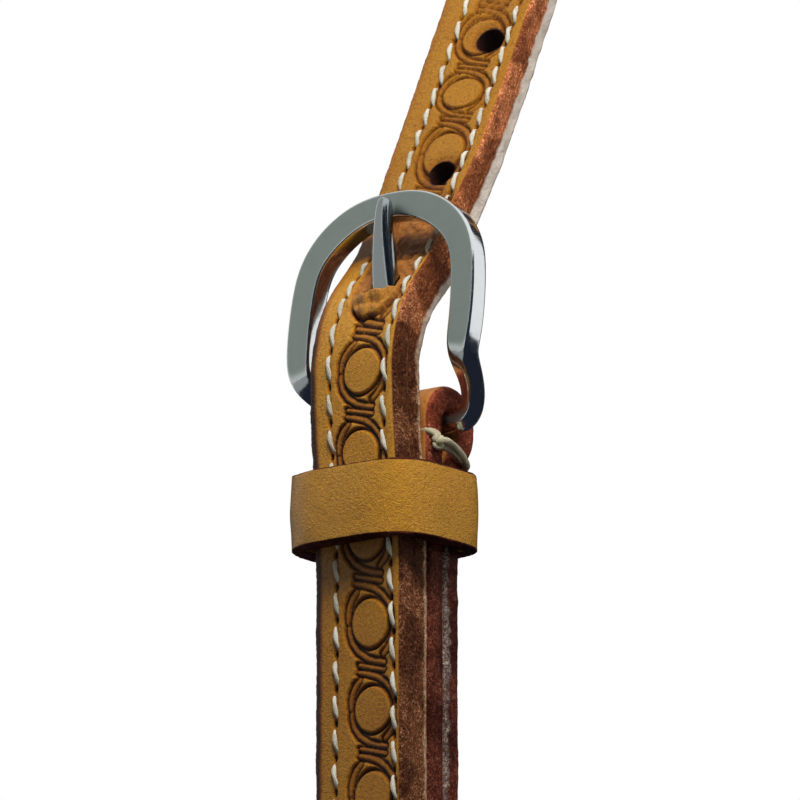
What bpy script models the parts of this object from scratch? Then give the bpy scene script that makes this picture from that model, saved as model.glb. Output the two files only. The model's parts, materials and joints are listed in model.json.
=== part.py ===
"""Browband headstall: crown with two buckled billets, cheek straps with bit loops, and browband.

Metres. Up is +Z, the horse faces -Y and its near (left) side is +X.
The origin is on the underside of the crown where it rests on the poll.
"""
import math

import bmesh
import bpy

# Straps
STRAP_WIDTH = 0.0159
STRAP_EDGE = 0.0004
SEAT_GAP = 0.0003
BILLET_LAYER = 0.00295
CHEEK_LAYER = 0.0036
BROWBAND_LAYER = 0.0028
STRAP_FACET_TURN = 9.0
BEND_FACET_TURN = 15.0
SHARP_TURN = 35.0

# Crown, from the poll down to the buckles
POLL_FLAT = 0.020
CROWN_HALF_SPAN = 0.072
POLL_BEND = CROWN_HALF_SPAN - POLL_FLAT / 2
BUCKLE_OUT = 0.105
BUCKLE_DROP = 0.235

# Billet path past the buckle, from the heel bar upwards
BILLET_RISE = 0.0065
BILLET_BEND_IN = 0.020
BILLET_BEND_IN_TURN = 41.0
BILLET_BEHIND_ARCH = 0.0045
BILLET_BEND_BACK = 0.030
BILLET_BEND_BACK_TURN = 15.5
BILLET_EASE = 0.080
BILLET_SIDE_SHIFT = 0.0012

# Punched holes of the billet
HOLE_PITCH = 0.0254
HOLE_RADIUS = 0.0021
HOLE_COUNT = 5
FIRST_HOLE_ABOVE_BAR = 0.0433
HOLE_SIDE = 0.0010
HOLE_FACETS = 14

# Buckle
HEEL_BAR_RADIUS = 0.00175
HEEL_ROOM = 0.00105
FRAME_SIDE_ROOM = 0.00715
FRAME_HALF_WIDTH = STRAP_WIDTH / 2 + FRAME_SIDE_ROOM
HEEL_HALF_WIDTH = STRAP_WIDTH / 2 + HEEL_ROOM
FRAME_RISE = 0.01945
BAR_BELOW_FRAME_MIDDLE = 0.0129
FRAME_FACE_HALF = 0.00228
FRAME_TILT = 7.0
FRAME_DEPTH = 0.0034
FACE_SET_FORWARD = 0.0090
FRAME_EDGE = 0.0003
FRAME_BACK_ROUND = 0.0006
FRAME_ROUND_SHARE = 0.3
# Half outline of the flat face, as shares of the half width, of the rise and of the widest face
FRAME_ARCH_SHARES = [
    (0.0, 1.0, 0.855),
    (0.199, 0.992, 0.877),
    (0.397, 0.954, 0.943),
    (0.583, 0.884, 0.987),
    (0.742, 0.792, 1.0),
    (0.868, 0.679, 0.987),
    (0.940, 0.555, 0.974),
    (0.974, 0.422, 0.965),
    (0.993, 0.237, 0.956),
    (1.0, 0.051, 0.943),
    (0.987, -0.129, 0.930),
]
# Leg that turns back to the heel bar: out from the bar's end to the half width, down to the bar,
# back to the bar, and how much of the widest face is left beside the bar's round
FRAME_LEG_SHARES = [
    (0.934, 0.326, 0.014, 0.566),
    (0.885, 0.419, 0.110, 0.434),
    (0.820, 0.488, 0.288, 0.321),
    (0.738, 0.547, 0.479, 0.245),
    (0.656, 0.624, 0.671, 0.170),
    (0.574, 0.717, 0.822, 0.094),
    (0.475, 0.822, 0.934, 0.057),
    (0.361, 0.915, 0.989, 0.019),
    (0.197, 0.978, 1.0, 0.0),
    (0.0, 1.0, 1.0, 0.0),
]
FRAME_LEG_ROUNDING_ROWS = 5
ROUND_SECTION_TURNS = [62, 22, -12, -42, -72, -108, -138, -168, 158, 118]

# Tongue
TONGUE_EYE_THICK = 0.0015
TONGUE_EYE_WIDTH = 0.0038
TONGUE_THICK = 0.0030
TONGUE_OVER_ARCH = 0.0006
TONGUE_PAST_ARCH = 0.0008
TONGUE_TIP_SHARE = 0.80
TONGUE_NOSE_SHARE = 0.28
TONGUE_NOSE_TAPER_SHARE = 0.60
TONGUE_SQUARE_POWER = 0.7
TONGUE_FACETS = 12
TONGUE_EYE_STEPS = 16
TONGUE_EYE_OPEN = 100.0
TONGUE_PLAY = 3.0
TONGUE_SIDE = -0.0002
# Shank from the eye to the tip: shares of the way out and of the way up
TONGUE_SHANK_SHARES = [
    (0.049, 0.089),
    (0.195, 0.207),
    (0.439, 0.340),
    (0.683, 0.473),
    (0.927, 0.607),
    (1.049, 0.754),
    (1.073, 0.888),
    (1.0, 1.0),
]
TONGUE_GROWTH_ROWS = 3
TONGUE_HOLE_CLEAR = 0.0005

# Cheek strap
CHEEK_BAR_RUN = 0.0006
CHEEK_PINCH = 0.0075
TOP_TURNBACK = 0.060
TAIL_LENGTH = 0.090
SPLIT_TURN = 12.5
TONGUE_SLOT_ROOM = 0.0006
BIT_LOOP_DROP = 0.214
BIT_LOOP_CLEAR_RADIUS = 0.0070
BIT_LOOP_TURN = 55.0
TAIL_TIP_STEPS = 8
TAIL_TIP_TURN = 80.0

# Keeper
KEEPER_HEIGHT = 0.0104
KEEPER_THICK = 0.0019
KEEPER_DROP = 0.0134
KEEPER_CORNER = 0.0009
KEEPER_EDGE = 0.0005
KEEPER_FACET_TURN = 18.0

# Lace that ties the turnback
LACE_RADIUS = 0.0006
LACE_FRONT_DROP = 0.0021
LACE_BACK_DROP = 0.0052
LACE_HOLE_IN = 0.00375
LACE_FRONT_SINK = 0.00065
LACE_BACK_REACH = 0.00075
LACE_CORNER = 0.0019
LACE_CORNER_STEPS = 4
LACE_FACETS = 10

# Screws of the bit loop
SCREW_ABOVE_LOOP = 0.027
SCREW_SPACING = 0.022
SCREW_END_MARGIN = 0.015
SCREW_HEAD_RADIUS = 0.0048
SCREW_HEAD_HEIGHT = 0.0016
SCREW_HEAD_EDGE = 0.0005
SCREW_BARREL_RADIUS = 0.0024
SCREW_STUB_RADIUS = 0.0013
SCREW_FACETS = 20

# Browband
BROWBAND_DROP = 0.095
BROWBAND_JOIN = 0.0135
BROWBAND_TURNBACK = 0.022
BROWBAND_LOOP_LEAD = 0.0010

# Finishes: colour, roughness, metallic
FACE_FINISH = ((0.46, 0.25, 0.07, 1.0), 0.6, 0.0)
LINING_FINISH = ((0.20, 0.075, 0.035, 1.0), 0.7, 0.0)
CHEEK_FINISH = ((0.42, 0.21, 0.055, 1.0), 0.6, 0.0)
KEEPER_FINISH = ((0.45, 0.24, 0.06, 1.0), 0.55, 0.0)
STEEL_FINISH = ((0.42, 0.44, 0.44, 1.0), 0.35, 1.0)
TONGUE_FINISH = ((0.62, 0.63, 0.63, 1.0), 0.25, 1.0)
LACE_FINISH = ((0.55, 0.50, 0.40, 1.0), 0.8, 0.0)

BILLET_THICK = 2 * BILLET_LAYER + SEAT_GAP
BAR_SEAT = HEEL_BAR_RADIUS + SEAT_GAP
FOLD_MIDDLE = BAR_SEAT + CHEEK_LAYER / 2
PINCHED = SEAT_GAP / 2 + CHEEK_LAYER / 2
TURNBACK_MIDDLE = FOLD_MIDDLE - 2 * PINCHED
CHEEK_MIDDLE = FOLD_MIDDLE - PINCHED
BILLET_BACK = BAR_SEAT + CHEEK_LAYER + SEAT_GAP
BILLET_MIDDLE = BILLET_BACK + BILLET_THICK / 2
LAYER_OFFSET = (BILLET_LAYER + SEAT_GAP) / 2
SCREW_LOWER_DROP = BIT_LOOP_DROP - SCREW_ABOVE_LOOP
SCREW_UPPER_DROP = SCREW_LOWER_DROP - SCREW_SPACING
BIT_TURNBACK_TOP = SCREW_UPPER_DROP - SCREW_END_MARGIN
LACE_HOLE_SIDE = STRAP_WIDTH / 2 - LACE_HOLE_IN
LACE_FRONT_OUT = FOLD_MIDDLE + CHEEK_LAYER / 2 - LACE_FRONT_SINK
LACE_BACK_IN = FOLD_MIDDLE + LACE_BACK_REACH


def remove_everything():
    for obj in list(bpy.data.objects):
        bpy.data.objects.remove(obj, do_unlink=True)


def sine(degrees):
    return math.sin(math.radians(degrees))


def cosine(degrees):
    return math.cos(math.radians(degrees))


def add_object(name, verts, faces, at, finish):
    mesh = bpy.data.meshes.new(name)
    mesh.from_pydata([tuple(v) for v in verts], [], faces)
    shape = bmesh.new()
    shape.from_mesh(mesh)
    bmesh.ops.recalc_face_normals(shape, faces=shape.faces)
    shape.to_mesh(mesh)
    shape.free()
    obj = bpy.data.objects.new(name, mesh)
    obj.location = at
    bpy.context.scene.collection.objects.link(obj)
    for face in mesh.polygons:
        face.use_smooth = True
    mesh.set_sharp_from_angle(angle=math.radians(SHARP_TURN))
    if finish is not None:
        colour, roughness, metallic = finish
        material = bpy.data.materials.new(name)
        material.use_nodes = True
        shader = material.node_tree.nodes["Principled BSDF"]
        shader.inputs["Base Color"].default_value = colour
        shader.inputs["Roughness"].default_value = roughness
        shader.inputs["Metallic"].default_value = metallic
        mesh.materials.append(material)
    return obj


def add_cutter(name, verts, faces, at):
    obj = add_object(name, verts, faces, at, None)
    obj.hide_render = True
    obj.display_type = 'WIRE'
    return obj


def cut(obj, cutter, label):
    mod = obj.modifiers.new(label, 'BOOLEAN')
    mod.operation = 'DIFFERENCE'
    mod.solver = 'EXACT'
    mod.object = cutter


def walk(start, heading, moves):
    """Points and right-hand normals of a flat path made of runs and arcs; left turns are positive."""
    x, z = start
    angle = math.radians(heading)
    path = [((x, z), (math.sin(angle), -math.cos(angle)))]
    for move in moves:
        if move[0] == "run":
            x += move[1] * math.cos(angle)
            z += move[1] * math.sin(angle)
            path.append(((x, z), (math.sin(angle), -math.cos(angle))))
            continue
        radius, turn, facet = move[1], math.radians(move[2]), math.radians(move[3])
        steps = max(2, round(abs(turn) / facet))
        side = math.copysign(1.0, turn)
        centre = (x - side * radius * math.sin(angle), z + side * radius * math.cos(angle))
        for step in range(1, steps + 1):
            now = angle + turn * step / steps
            x = centre[0] + side * radius * math.sin(now)
            z = centre[1] - side * radius * math.cos(now)
            path.append(((x, z), (math.sin(now), -math.cos(now))))
        angle += turn
    return path


def sideways(shift, length, facet):
    """Two arcs that move a path sideways by shift over a length; a left shift is positive."""
    turn = 2 * math.atan2(abs(shift), length)
    radius = length / (2 * math.sin(turn))
    degrees = math.copysign(math.degrees(turn), shift)
    return [("arc", radius, degrees, facet), ("arc", radius, -degrees, facet)]


def strap_section(half_width, half_thick, edge):
    """Chamfered strap section: across, depth."""
    a, b = half_width, half_thick
    return [
        (a, -b + edge), (a, b - edge), (a - edge, b), (-a + edge, b),
        (-a, b - edge), (-a, -b + edge), (-a + edge, -b), (a - edge, -b),
    ]


def skin(rings, closed=False):
    """Verts and faces of a tube through rings of equal length, capped unless closed."""
    verts = [p for ring in rings for p in ring]
    n, count = len(rings[0]), len(rings)
    faces = []
    for i in range(count if closed else count - 1):
        j = (i + 1) % count
        for k in range(n):
            m = (k + 1) % n
            faces.append((i * n + k, i * n + m, j * n + m, j * n + k))
    if not closed:
        faces.append(tuple(range(n)))
        faces.append(tuple((count - 1) * n + k for k in range(n)))
    return verts, faces


def upright_strap(path, width, thick, offset, side_shift=0.0, tip=None, side=1):
    """Rings of a strap whose path lies in the XZ plane and whose width runs along Y."""
    rings = []
    for i, ((x, z), (nx, nz)) in enumerate(path):
        half = width / 2 * (tip[i] if tip else 1.0)
        ring = []
        for across, depth in strap_section(half, thick / 2, STRAP_EDGE):
            d = offset + depth
            ring.append([side * (x + nx * d), across + side_shift, z + nz * d])
        rings.append(ring)
    return rings


def level_strap(path, width, thick, offset):
    """Rings of a strap whose path lies in the XY plane and whose width runs along Z."""
    rings = []
    for (x, y), (nx, ny) in path:
        ring = []
        for across, depth in strap_section(width / 2, thick / 2, STRAP_EDGE):
            d = offset + depth
            ring.append((x + nx * d, y + ny * d, across))
        rings.append(ring)
    return rings


def circle(centre, radius, facets, axis, along):
    """Ring of points round an axis through centre at a distance along it."""
    ring = []
    for k in range(facets):
        a = 2 * math.pi * k / facets
        flat = [radius * math.cos(a), radius * math.sin(a)]
        flat.insert(axis, along)
        ring.append(tuple(c + f for c, f in zip(centre, flat)))
    return ring


def rod(centres, radius, facets, closed=False):
    """Rings of a round rod through points in space."""
    rings = []
    count = len(centres)
    side = None
    for i, p in enumerate(centres):
        ahead = centres[(i + 1) % count] if closed or i + 1 < count else p
        behind = centres[i - 1] if closed or i > 0 else p
        t = unit(minus(ahead, behind))
        if side is None:
            level = abs(t[2]) < math.hypot(t[0], t[1])
            side = unit(cross(t, (0.0, 0.0, 1.0) if level else (1.0, 0.0, 0.0)))
        side = unit(minus(side, times(t, dot(side, t))))
        other = cross(t, side)
        ring = []
        for k in range(facets):
            a = 2 * math.pi * k / facets
            c, s = radius * math.cos(a), radius * math.sin(a)
            ring.append(tuple(p[j] + side[j] * c + other[j] * s for j in range(3)))
        rings.append(ring)
    return rings


def minus(a, b):
    return tuple(p - q for p, q in zip(a, b))


def times(a, k):
    return tuple(p * k for p in a)


def dot(a, b):
    return sum(p * q for p, q in zip(a, b))


def cross(a, b):
    return (a[1] * b[2] - a[2] * b[1], a[2] * b[0] - a[0] * b[2], a[0] * b[1] - a[1] * b[0])


def unit(a):
    length = math.sqrt(dot(a, a))
    return tuple(p / length for p in a)


def crown_moves():
    """Half of the crown's path, from the heel bar up to the middle of the poll."""
    bend, back = BILLET_BEND_IN_TURN, BILLET_BEND_BACK_TURN
    lean = bend - back
    inward = BUCKLE_OUT + BILLET_MIDDLE - CROWN_HALF_SPAN
    used = BILLET_BEND_IN * (1 - cosine(bend)) + BILLET_BEHIND_ARCH * sine(bend)
    used += BILLET_BEND_BACK * (cosine(lean) - cosine(bend)) + BILLET_EASE * (1 - cosine(lean))
    leaning = (inward - used) / sine(lean)
    risen = BILLET_RISE + BILLET_BEND_IN * sine(bend) + BILLET_BEHIND_ARCH * cosine(bend)
    risen += BILLET_BEND_BACK * (sine(bend) - sine(lean))
    risen += leaning * cosine(lean) + BILLET_EASE * sine(lean)
    upright = BUCKLE_DROP + BILLET_THICK / 2 - POLL_BEND - risen
    return [
        ("run", BILLET_RISE),
        ("arc", BILLET_BEND_IN, bend, STRAP_FACET_TURN),
        ("run", BILLET_BEHIND_ARCH),
        ("arc", BILLET_BEND_BACK, -back, STRAP_FACET_TURN / 2),
        ("run", leaning),
        ("arc", BILLET_EASE, -lean, STRAP_FACET_TURN),
        ("run", upright),
        ("arc", POLL_BEND, 90.0, STRAP_FACET_TURN),
        ("run", POLL_FLAT / 2),
    ]


def crown_path():
    half = crown_moves()
    start = (BUCKLE_OUT + BILLET_MIDDLE, -BUCKLE_DROP)
    whole = half[:-1] + [("run", POLL_FLAT)] + half[-2::-1]
    return walk(start, 90.0, whole)


def cut_split(ring):
    """Lays the end ring of a billet on the slanting plane through the heel bar's axis."""
    for p in ring:
        out = abs(p[0]) - BUCKLE_OUT
        p[2] = -BUCKLE_DROP + out * math.tan(math.radians(SPLIT_TURN))


def crown_layer(name, offset, finish, cutters):
    rings = upright_strap(crown_path(), STRAP_WIDTH, BILLET_LAYER, offset, -BILLET_SIDE_SHIFT)
    cut_split(rings[0])
    cut_split(rings[-1])
    verts, faces = skin(rings)
    obj = add_object(name, verts, faces, (0.0, 0.0, 0.0), finish)
    for k, cutter in enumerate(cutters):
        cut(obj, cutter, f"hole_{k + 1}")
    return obj


def point_along(path, distance):
    """Point and normal at a distance along a path."""
    gone = 0.0
    for (p, n), (q, m) in zip(path, path[1:]):
        step = math.dist(p, q)
        if gone + step >= distance:
            f = (distance - gone) / step
            return (
                tuple(a + (b - a) * f for a, b in zip(p, q)),
                unit(tuple(a + (b - a) * f for a, b in zip(n, m))),
            )
        gone += step
    return path[-1]


def hole_cutters(side, label):
    """Round cutters through the billet, one for every punched hole above the tongue."""
    cutters = []
    path = crown_path()
    for k in range(HOLE_COUNT):
        (x, z), (nx, nz) = point_along(path, FIRST_HOLE_ABOVE_BAR + k * HOLE_PITCH)
        ends = [(side * (x + nx * d), HOLE_SIDE, z + nz * d) for d in (-BILLET_THICK, BILLET_THICK)]
        verts, faces = skin(rod(ends, HOLE_RADIUS, HOLE_FACETS))
        cutters.append(add_cutter(f"{label}_hole_cutter_{k + 1}", verts, faces, (0.0, 0.0, 0.0)))
    return cutters


def frame_point(across, up, forward):
    """Local point of the tilted buckle, measured from the heel bar's axis."""
    return (
        forward * cosine(FRAME_TILT) - up * sine(FRAME_TILT),
        across,
        up * cosine(FRAME_TILT) + forward * sine(FRAME_TILT),
    )


def face_section(half):
    """Buckle section with a flat front and rounded back corners: across, forward."""
    f, b = FRAME_EDGE, FRAME_BACK_ROUND
    h = FRAME_DEPTH / 2
    r = b * FRAME_ROUND_SHARE
    right = [(half - f, h), (half, h - f), (half, -h + b), (half - r, -h + r), (half - b, -h)]
    return right + [(-across, forward) for across, forward in right[::-1]]


def round_section(radius):
    """The same count of points on a circle."""
    return [(radius * cosine(turn), radius * sine(turn)) for turn in ROUND_SECTION_TURNS]


def mix(first, second, share):
    return [tuple(p + (q - p) * share for p, q in zip(a, b)) for a, b in zip(first, second)]


def frame_half():
    """Centres and sections of half the buckle, from the middle of the arch to the heel bar."""
    middle = FACE_SET_FORWARD - FRAME_DEPTH / 2
    half = []
    for across, up, wide in FRAME_ARCH_SHARES:
        place = (across * FRAME_HALF_WIDTH, up * FRAME_RISE + BAR_BELOW_FRAME_MIDDLE, middle)
        half.append((place, face_section(wide * FRAME_FACE_HALF)))
    for k, (out, down, back, wide) in enumerate(FRAME_LEG_SHARES):
        across = HEEL_HALF_WIDTH + out * (FRAME_HALF_WIDTH - HEEL_HALF_WIDTH)
        radius = HEEL_BAR_RADIUS + wide * (FRAME_FACE_HALF - HEEL_BAR_RADIUS)
        share = min(1.0, (k + 1) / FRAME_LEG_ROUNDING_ROWS)
        section = mix(face_section(radius), round_section(radius), share)
        half.append(((across, (1 - down) * BAR_BELOW_FRAME_MIDDLE, (1 - back) * middle), section))
    return half


def buckle_frame(name, side, at):
    """One closed ring: arch, legs and heel bar."""
    right = frame_half()
    stations = right + [((-across, up, forward), section) for (across, up, forward), section in right[:0:-1]]
    count = len(stations)
    centres = [frame_point(*place) for place, _ in stations]
    rings = []
    for i, (p, (_, section)) in enumerate(zip(centres, stations)):
        t = unit(minus(centres[(i + 1) % count], centres[i - 1]))
        forward = frame_forward(t)
        across = cross(forward, t)
        ring = []
        for a, f in section:
            q = tuple(p[j] + across[j] * a + forward[j] * f for j in range(3))
            ring.append((side * q[0], q[1], q[2]))
        rings.append(ring)
    verts, faces = skin(rings, closed=True)
    return add_object(name, verts, faces, at, STEEL_FINISH)


def frame_forward(tangent):
    """Direction of the section's flat front: as far forward as the tangent allows."""
    normal = (cosine(FRAME_TILT), 0.0, sine(FRAME_TILT))
    return unit(minus(normal, times(tangent, dot(normal, tangent))))


def tongue_tip():
    """Middle of the tongue where it lies over the arch: out, up."""
    forward = FACE_SET_FORWARD + TONGUE_OVER_ARCH + TONGUE_THICK * TONGUE_TIP_SHARE / 2
    x, _, z = frame_point(0.0, FRAME_RISE + BAR_BELOW_FRAME_MIDDLE, forward)
    return x, z + TONGUE_PAST_ARCH


def tongue_stations():
    """Centres of the tongue, its thickness and width, from the open end of the eye to the tip."""
    eye = BAR_SEAT + TONGUE_EYE_THICK / 2
    stations = []
    start = TONGUE_EYE_OPEN - 360.0
    for k in range(TONGUE_EYE_STEPS + 1):
        turn = start * (1 - k / TONGUE_EYE_STEPS)
        stations.append(((eye * cosine(turn), eye * sine(turn)), TONGUE_EYE_THICK, TONGUE_EYE_WIDTH))
    tip_out, tip_up = tongue_tip()
    count = len(TONGUE_SHANK_SHARES)
    for k, (out, up) in enumerate(TONGUE_SHANK_SHARES):
        grown = min(1.0, (k + 1) / TONGUE_GROWTH_ROWS)
        thick = TONGUE_EYE_THICK + (TONGUE_THICK - TONGUE_EYE_THICK) * grown
        taper = 1.0 - (1.0 - TONGUE_TIP_SHARE) * max(0.0, (k - count / 2) / (count / 2 - 1))
        centre = (eye + out * (tip_out - eye), up * tip_up)
        stations.append((centre, thick * taper, TONGUE_EYE_WIDTH * taper))
    return stations


def tongue_depths(stations):
    """Unit directions through the tongue's thickness, one for every station."""
    depths = []
    for i in range(len(stations)):
        ahead = stations[min(i + 1, len(stations) - 1)][0]
        behind = stations[max(i - 1, 0)][0]
        dx, dz = ahead[0] - behind[0], ahead[1] - behind[1]
        length = math.hypot(dx, dz)
        depths.append((dz / length, -dx / length))
    return depths


def buckle_tongue(name, side, at):
    """Flattened bar turned round the heel bar and tapering to its tip."""
    stations = tongue_stations()
    rings = []
    for ((x, z), thick, width), (nx, nz) in zip(stations, tongue_depths(stations)):
        ring = []
        for k in range(TONGUE_FACETS):
            a = math.radians(360.0 * (k + 0.5) / TONGUE_FACETS)
            across = width / 2 * math.copysign(abs(math.cos(a)) ** TONGUE_SQUARE_POWER, math.cos(a))
            depth = thick / 2 * math.copysign(abs(math.sin(a)) ** TONGUE_SQUARE_POWER, math.sin(a))
            ring.append((side * (x + nx * depth), across + TONGUE_SIDE, z + nz * depth))
        rings.append(ring)
    tip = rings[-1]
    centre = tuple(sum(p[j] for p in tip) / len(tip) for j in range(3))
    nose = (centre[0], centre[1], centre[2] + TONGUE_THICK * TONGUE_NOSE_SHARE)
    rings.append([
        tuple(nose[j] + (p[j] - centre[j]) * TONGUE_NOSE_TAPER_SHARE for j in range(3)) for p in tip
    ])
    verts, faces = skin(rings)
    return add_object(name, verts, faces, at, TONGUE_FINISH)


def tongue_hole_cutter(side, label, at):
    """Slanting passage through the billet, wide enough for the tongue at rest and lifted."""
    whole = tongue_stations()
    first = len(whole) - len(TONGUE_SHANK_SHARES) + 1
    cos, sin = cosine(TONGUE_PLAY), sine(TONGUE_PLAY)
    back, front = [], []
    for ((x, z), thick, width), (nx, nz) in list(zip(whole, tongue_depths(whole)))[first:]:
        reach = thick / 2 + TONGUE_HOLE_CLEAR
        back.append((x - nx * reach, z - nz * reach))
        px, pz = x + nx * reach, z + nz * reach
        front.append((px * cos + pz * sin, pz * cos - px * sin))
    outline = back + front[::-1]
    half = TONGUE_EYE_WIDTH / 2 + TONGUE_HOLE_CLEAR
    rings = [[(side * x, TONGUE_SIDE + y, z) for x, z in outline] for y in (-half, half)]
    verts, faces = skin(rings)
    return add_cutter(f"{label}_tongue_hole_cutter", verts, faces, at)


def cheek_path():
    """Cheek strap from the end of the top turnback, over the heel bar, down and round the bit loop."""
    middle = BIT_LOOP_CLEAR_RADIUS + CHEEK_LAYER / 2
    ease = (middle * cosine(BIT_LOOP_TURN) - PINCHED) / (1 - cosine(BIT_LOOP_TURN))
    loop_top = (ease + middle) * sine(BIT_LOOP_TURN)
    moves = [("run", TOP_TURNBACK - CHEEK_BAR_RUN - CHEEK_PINCH)]
    moves += sideways(FOLD_MIDDLE + TURNBACK_MIDDLE, CHEEK_PINCH, BEND_FACET_TURN)
    moves += [
        ("run", CHEEK_BAR_RUN),
        ("arc", FOLD_MIDDLE, -180.0, BEND_FACET_TURN),
        ("run", BIT_LOOP_DROP - loop_top),
        ("arc", ease, BIT_LOOP_TURN, BEND_FACET_TURN),
        ("arc", middle, -180.0 - 2 * BIT_LOOP_TURN, BEND_FACET_TURN),
        ("arc", ease, BIT_LOOP_TURN, BEND_FACET_TURN),
        ("run", BIT_LOOP_DROP - loop_top - BIT_TURNBACK_TOP),
    ]
    return walk((TURNBACK_MIDDLE, -TOP_TURNBACK), 90.0, moves)


def cheek_strap(name, label, side, at):
    rings = upright_strap(cheek_path(), STRAP_WIDTH, CHEEK_LAYER, 0.0, side=side)
    verts, faces = skin(rings)
    obj = add_object(name, verts, faces, at, CHEEK_FINISH)
    cut(obj, slot_cutter(label, at), "tongue_slot")
    cut(obj, lace_cutter(label, side, at), "lace_path")
    for drop, word in ((SCREW_UPPER_DROP, "upper"), (SCREW_LOWER_DROP, "lower")):
        cut(obj, screw_cutter(f"{label}_{word}_screw_cutter", drop, at), f"{word}_screw_hole")
    return obj


def slot_cutter(label, at):
    """Slot of the fold in which the tongue's eye turns."""
    reach = FOLD_MIDDLE + CHEEK_LAYER
    low = -(BAR_SEAT + TONGUE_EYE_THICK + 2 * SEAT_GAP)
    half = TONGUE_EYE_WIDTH / 2 + TONGUE_SLOT_ROOM
    corners = [(-reach, low), (reach, low), (reach, reach), (-reach, reach)]
    sides = (TONGUE_SIDE - half, TONGUE_SIDE + half)
    verts = [(x, y, z) for y in sides for x, z in corners]
    faces = [(0, 1, 2, 3), (4, 5, 6, 7), (0, 1, 5, 4), (1, 2, 6, 5), (2, 3, 7, 6), (3, 0, 4, 7)]
    return add_cutter(f"{label}_slot_cutter", verts, faces, at)


def cheek_lining(name, side, at):
    """Inner layer between the two turnbacks."""
    length = BIT_TURNBACK_TOP - TOP_TURNBACK - 2 * SEAT_GAP
    path = walk((TURNBACK_MIDDLE, -TOP_TURNBACK - SEAT_GAP), -90.0, [("run", length)])
    verts, faces = skin(upright_strap(path, STRAP_WIDTH, CHEEK_LAYER, 0.0, side=side))
    return add_object(name, verts, faces, at, LINING_FINISH)


def tail_layer(name, offset, side, at, finish):
    """One layer of the billet below the heel bar, with a rounded tip."""
    moves = [("run", TAIL_LENGTH - STRAP_WIDTH / 2)]
    shares = [1.0, 1.0]
    gone = 0.0
    for k in range(1, TAIL_TIP_STEPS + 1):
        turn = TAIL_TIP_TURN * k / TAIL_TIP_STEPS
        reach = STRAP_WIDTH / 2 * sine(turn)
        moves.append(("run", reach - gone))
        gone = reach
        shares.append(cosine(turn))
    path = walk((BILLET_MIDDLE, -SEAT_GAP / 2), -90.0, moves)
    rings = upright_strap(path, STRAP_WIDTH, BILLET_LAYER, offset, -BILLET_SIDE_SHIFT, shares, side)
    verts, faces = skin(rings)
    return add_object(name, verts, faces, at, finish)


def lace_loop(side):
    """Corner points of the lace's closed path round the edge of the two cheek layers."""
    front = (LACE_FRONT_OUT, -LACE_FRONT_DROP)
    back = (-LACE_BACK_IN, -LACE_BACK_DROP)
    inner, outer = LACE_HOLE_SIDE, STRAP_WIDTH / 2 + LACE_RADIUS + SEAT_GAP
    corners = [(front, inner), (front, outer), (back, outer), (back, inner)]
    points = []
    for i, ((x, z), y) in enumerate(corners):
        here = (x, y, z)
        before = (corners[i - 1][0][0], corners[i - 1][1], corners[i - 1][0][1])
        nxt = corners[(i + 1) % 4]
        after = (nxt[0][0], nxt[1], nxt[0][1])
        enter = minus(here, times(unit(minus(here, before)), LACE_CORNER))
        leave = minus(here, times(unit(minus(here, after)), LACE_CORNER))
        for step in range(LACE_CORNER_STEPS + 1):
            f = step / LACE_CORNER_STEPS
            bend = tuple(
                enter[j] * (1 - f) ** 2 + 2 * here[j] * f * (1 - f) + leave[j] * f ** 2 for j in range(3)
            )
            points.append((side * bend[0], bend[1], bend[2]))
    return points


def turnback_lace(name, side, at):
    verts, faces = skin(rod(lace_loop(side), LACE_RADIUS, LACE_FACETS, closed=True), closed=True)
    return add_object(name, verts, faces, at, LACE_FINISH)


def lace_cutter(label, side, at):
    radius = LACE_RADIUS + SEAT_GAP
    verts, faces = skin(rod(lace_loop(side), radius, LACE_FACETS, closed=True), closed=True)
    return add_cutter(f"{label}_lace_cutter", verts, faces, at)


def keeper(name, side, at):
    """Closed leather band round the billet tail and both cheek layers."""
    back = TURNBACK_MIDDLE - CHEEK_LAYER / 2 - SEAT_GAP
    front = BILLET_BACK + BILLET_THICK + SEAT_GAP
    left = -(STRAP_WIDTH / 2 + BILLET_SIDE_SHIFT + SEAT_GAP)
    right = STRAP_WIDTH / 2 + SEAT_GAP
    half = KEEPER_THICK / 2
    r = KEEPER_CORNER + half
    wide, deep = right - left + 2 * half, front - back + 2 * half
    moves = []
    for length in (wide, deep, wide, deep):
        moves += [("run", length - 2 * r), ("arc", r, 90.0, KEEPER_FACET_TURN)]
    path = walk((left - half + r, back - half), 0.0, moves)[:-1]
    rings = []
    for (y, x), (ny, nx) in path:
        ring = []
        for up, depth in strap_section(KEEPER_HEIGHT / 2, half, KEEPER_EDGE):
            ring.append((side * (x + nx * depth), y + ny * depth, up))
        rings.append(ring)
    verts, faces = skin(rings, closed=True)
    return add_object(name, verts, faces, at, KEEPER_FINISH)


def screw_cutter(name, drop, at):
    bore = SCREW_BARREL_RADIUS + SEAT_GAP
    ends = [circle((0.0, 0.0, -drop), bore, SCREW_FACETS, 0, x) for x in (-BILLET_MIDDLE, BILLET_MIDDLE)]
    verts, faces = skin(ends)
    return add_cutter(name, verts, faces, at)


def turned(name, profile, side, at):
    """Turned piece on the X axis through at, from (along, radius) rows; it may be hollow at one end."""
    rings = [circle((0.0, 0.0, 0.0), radius, SCREW_FACETS, 0, side * along) for along, radius in profile]
    verts, faces = skin(rings)
    return add_object(name, verts, faces, at, STEEL_FINISH)


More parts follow.
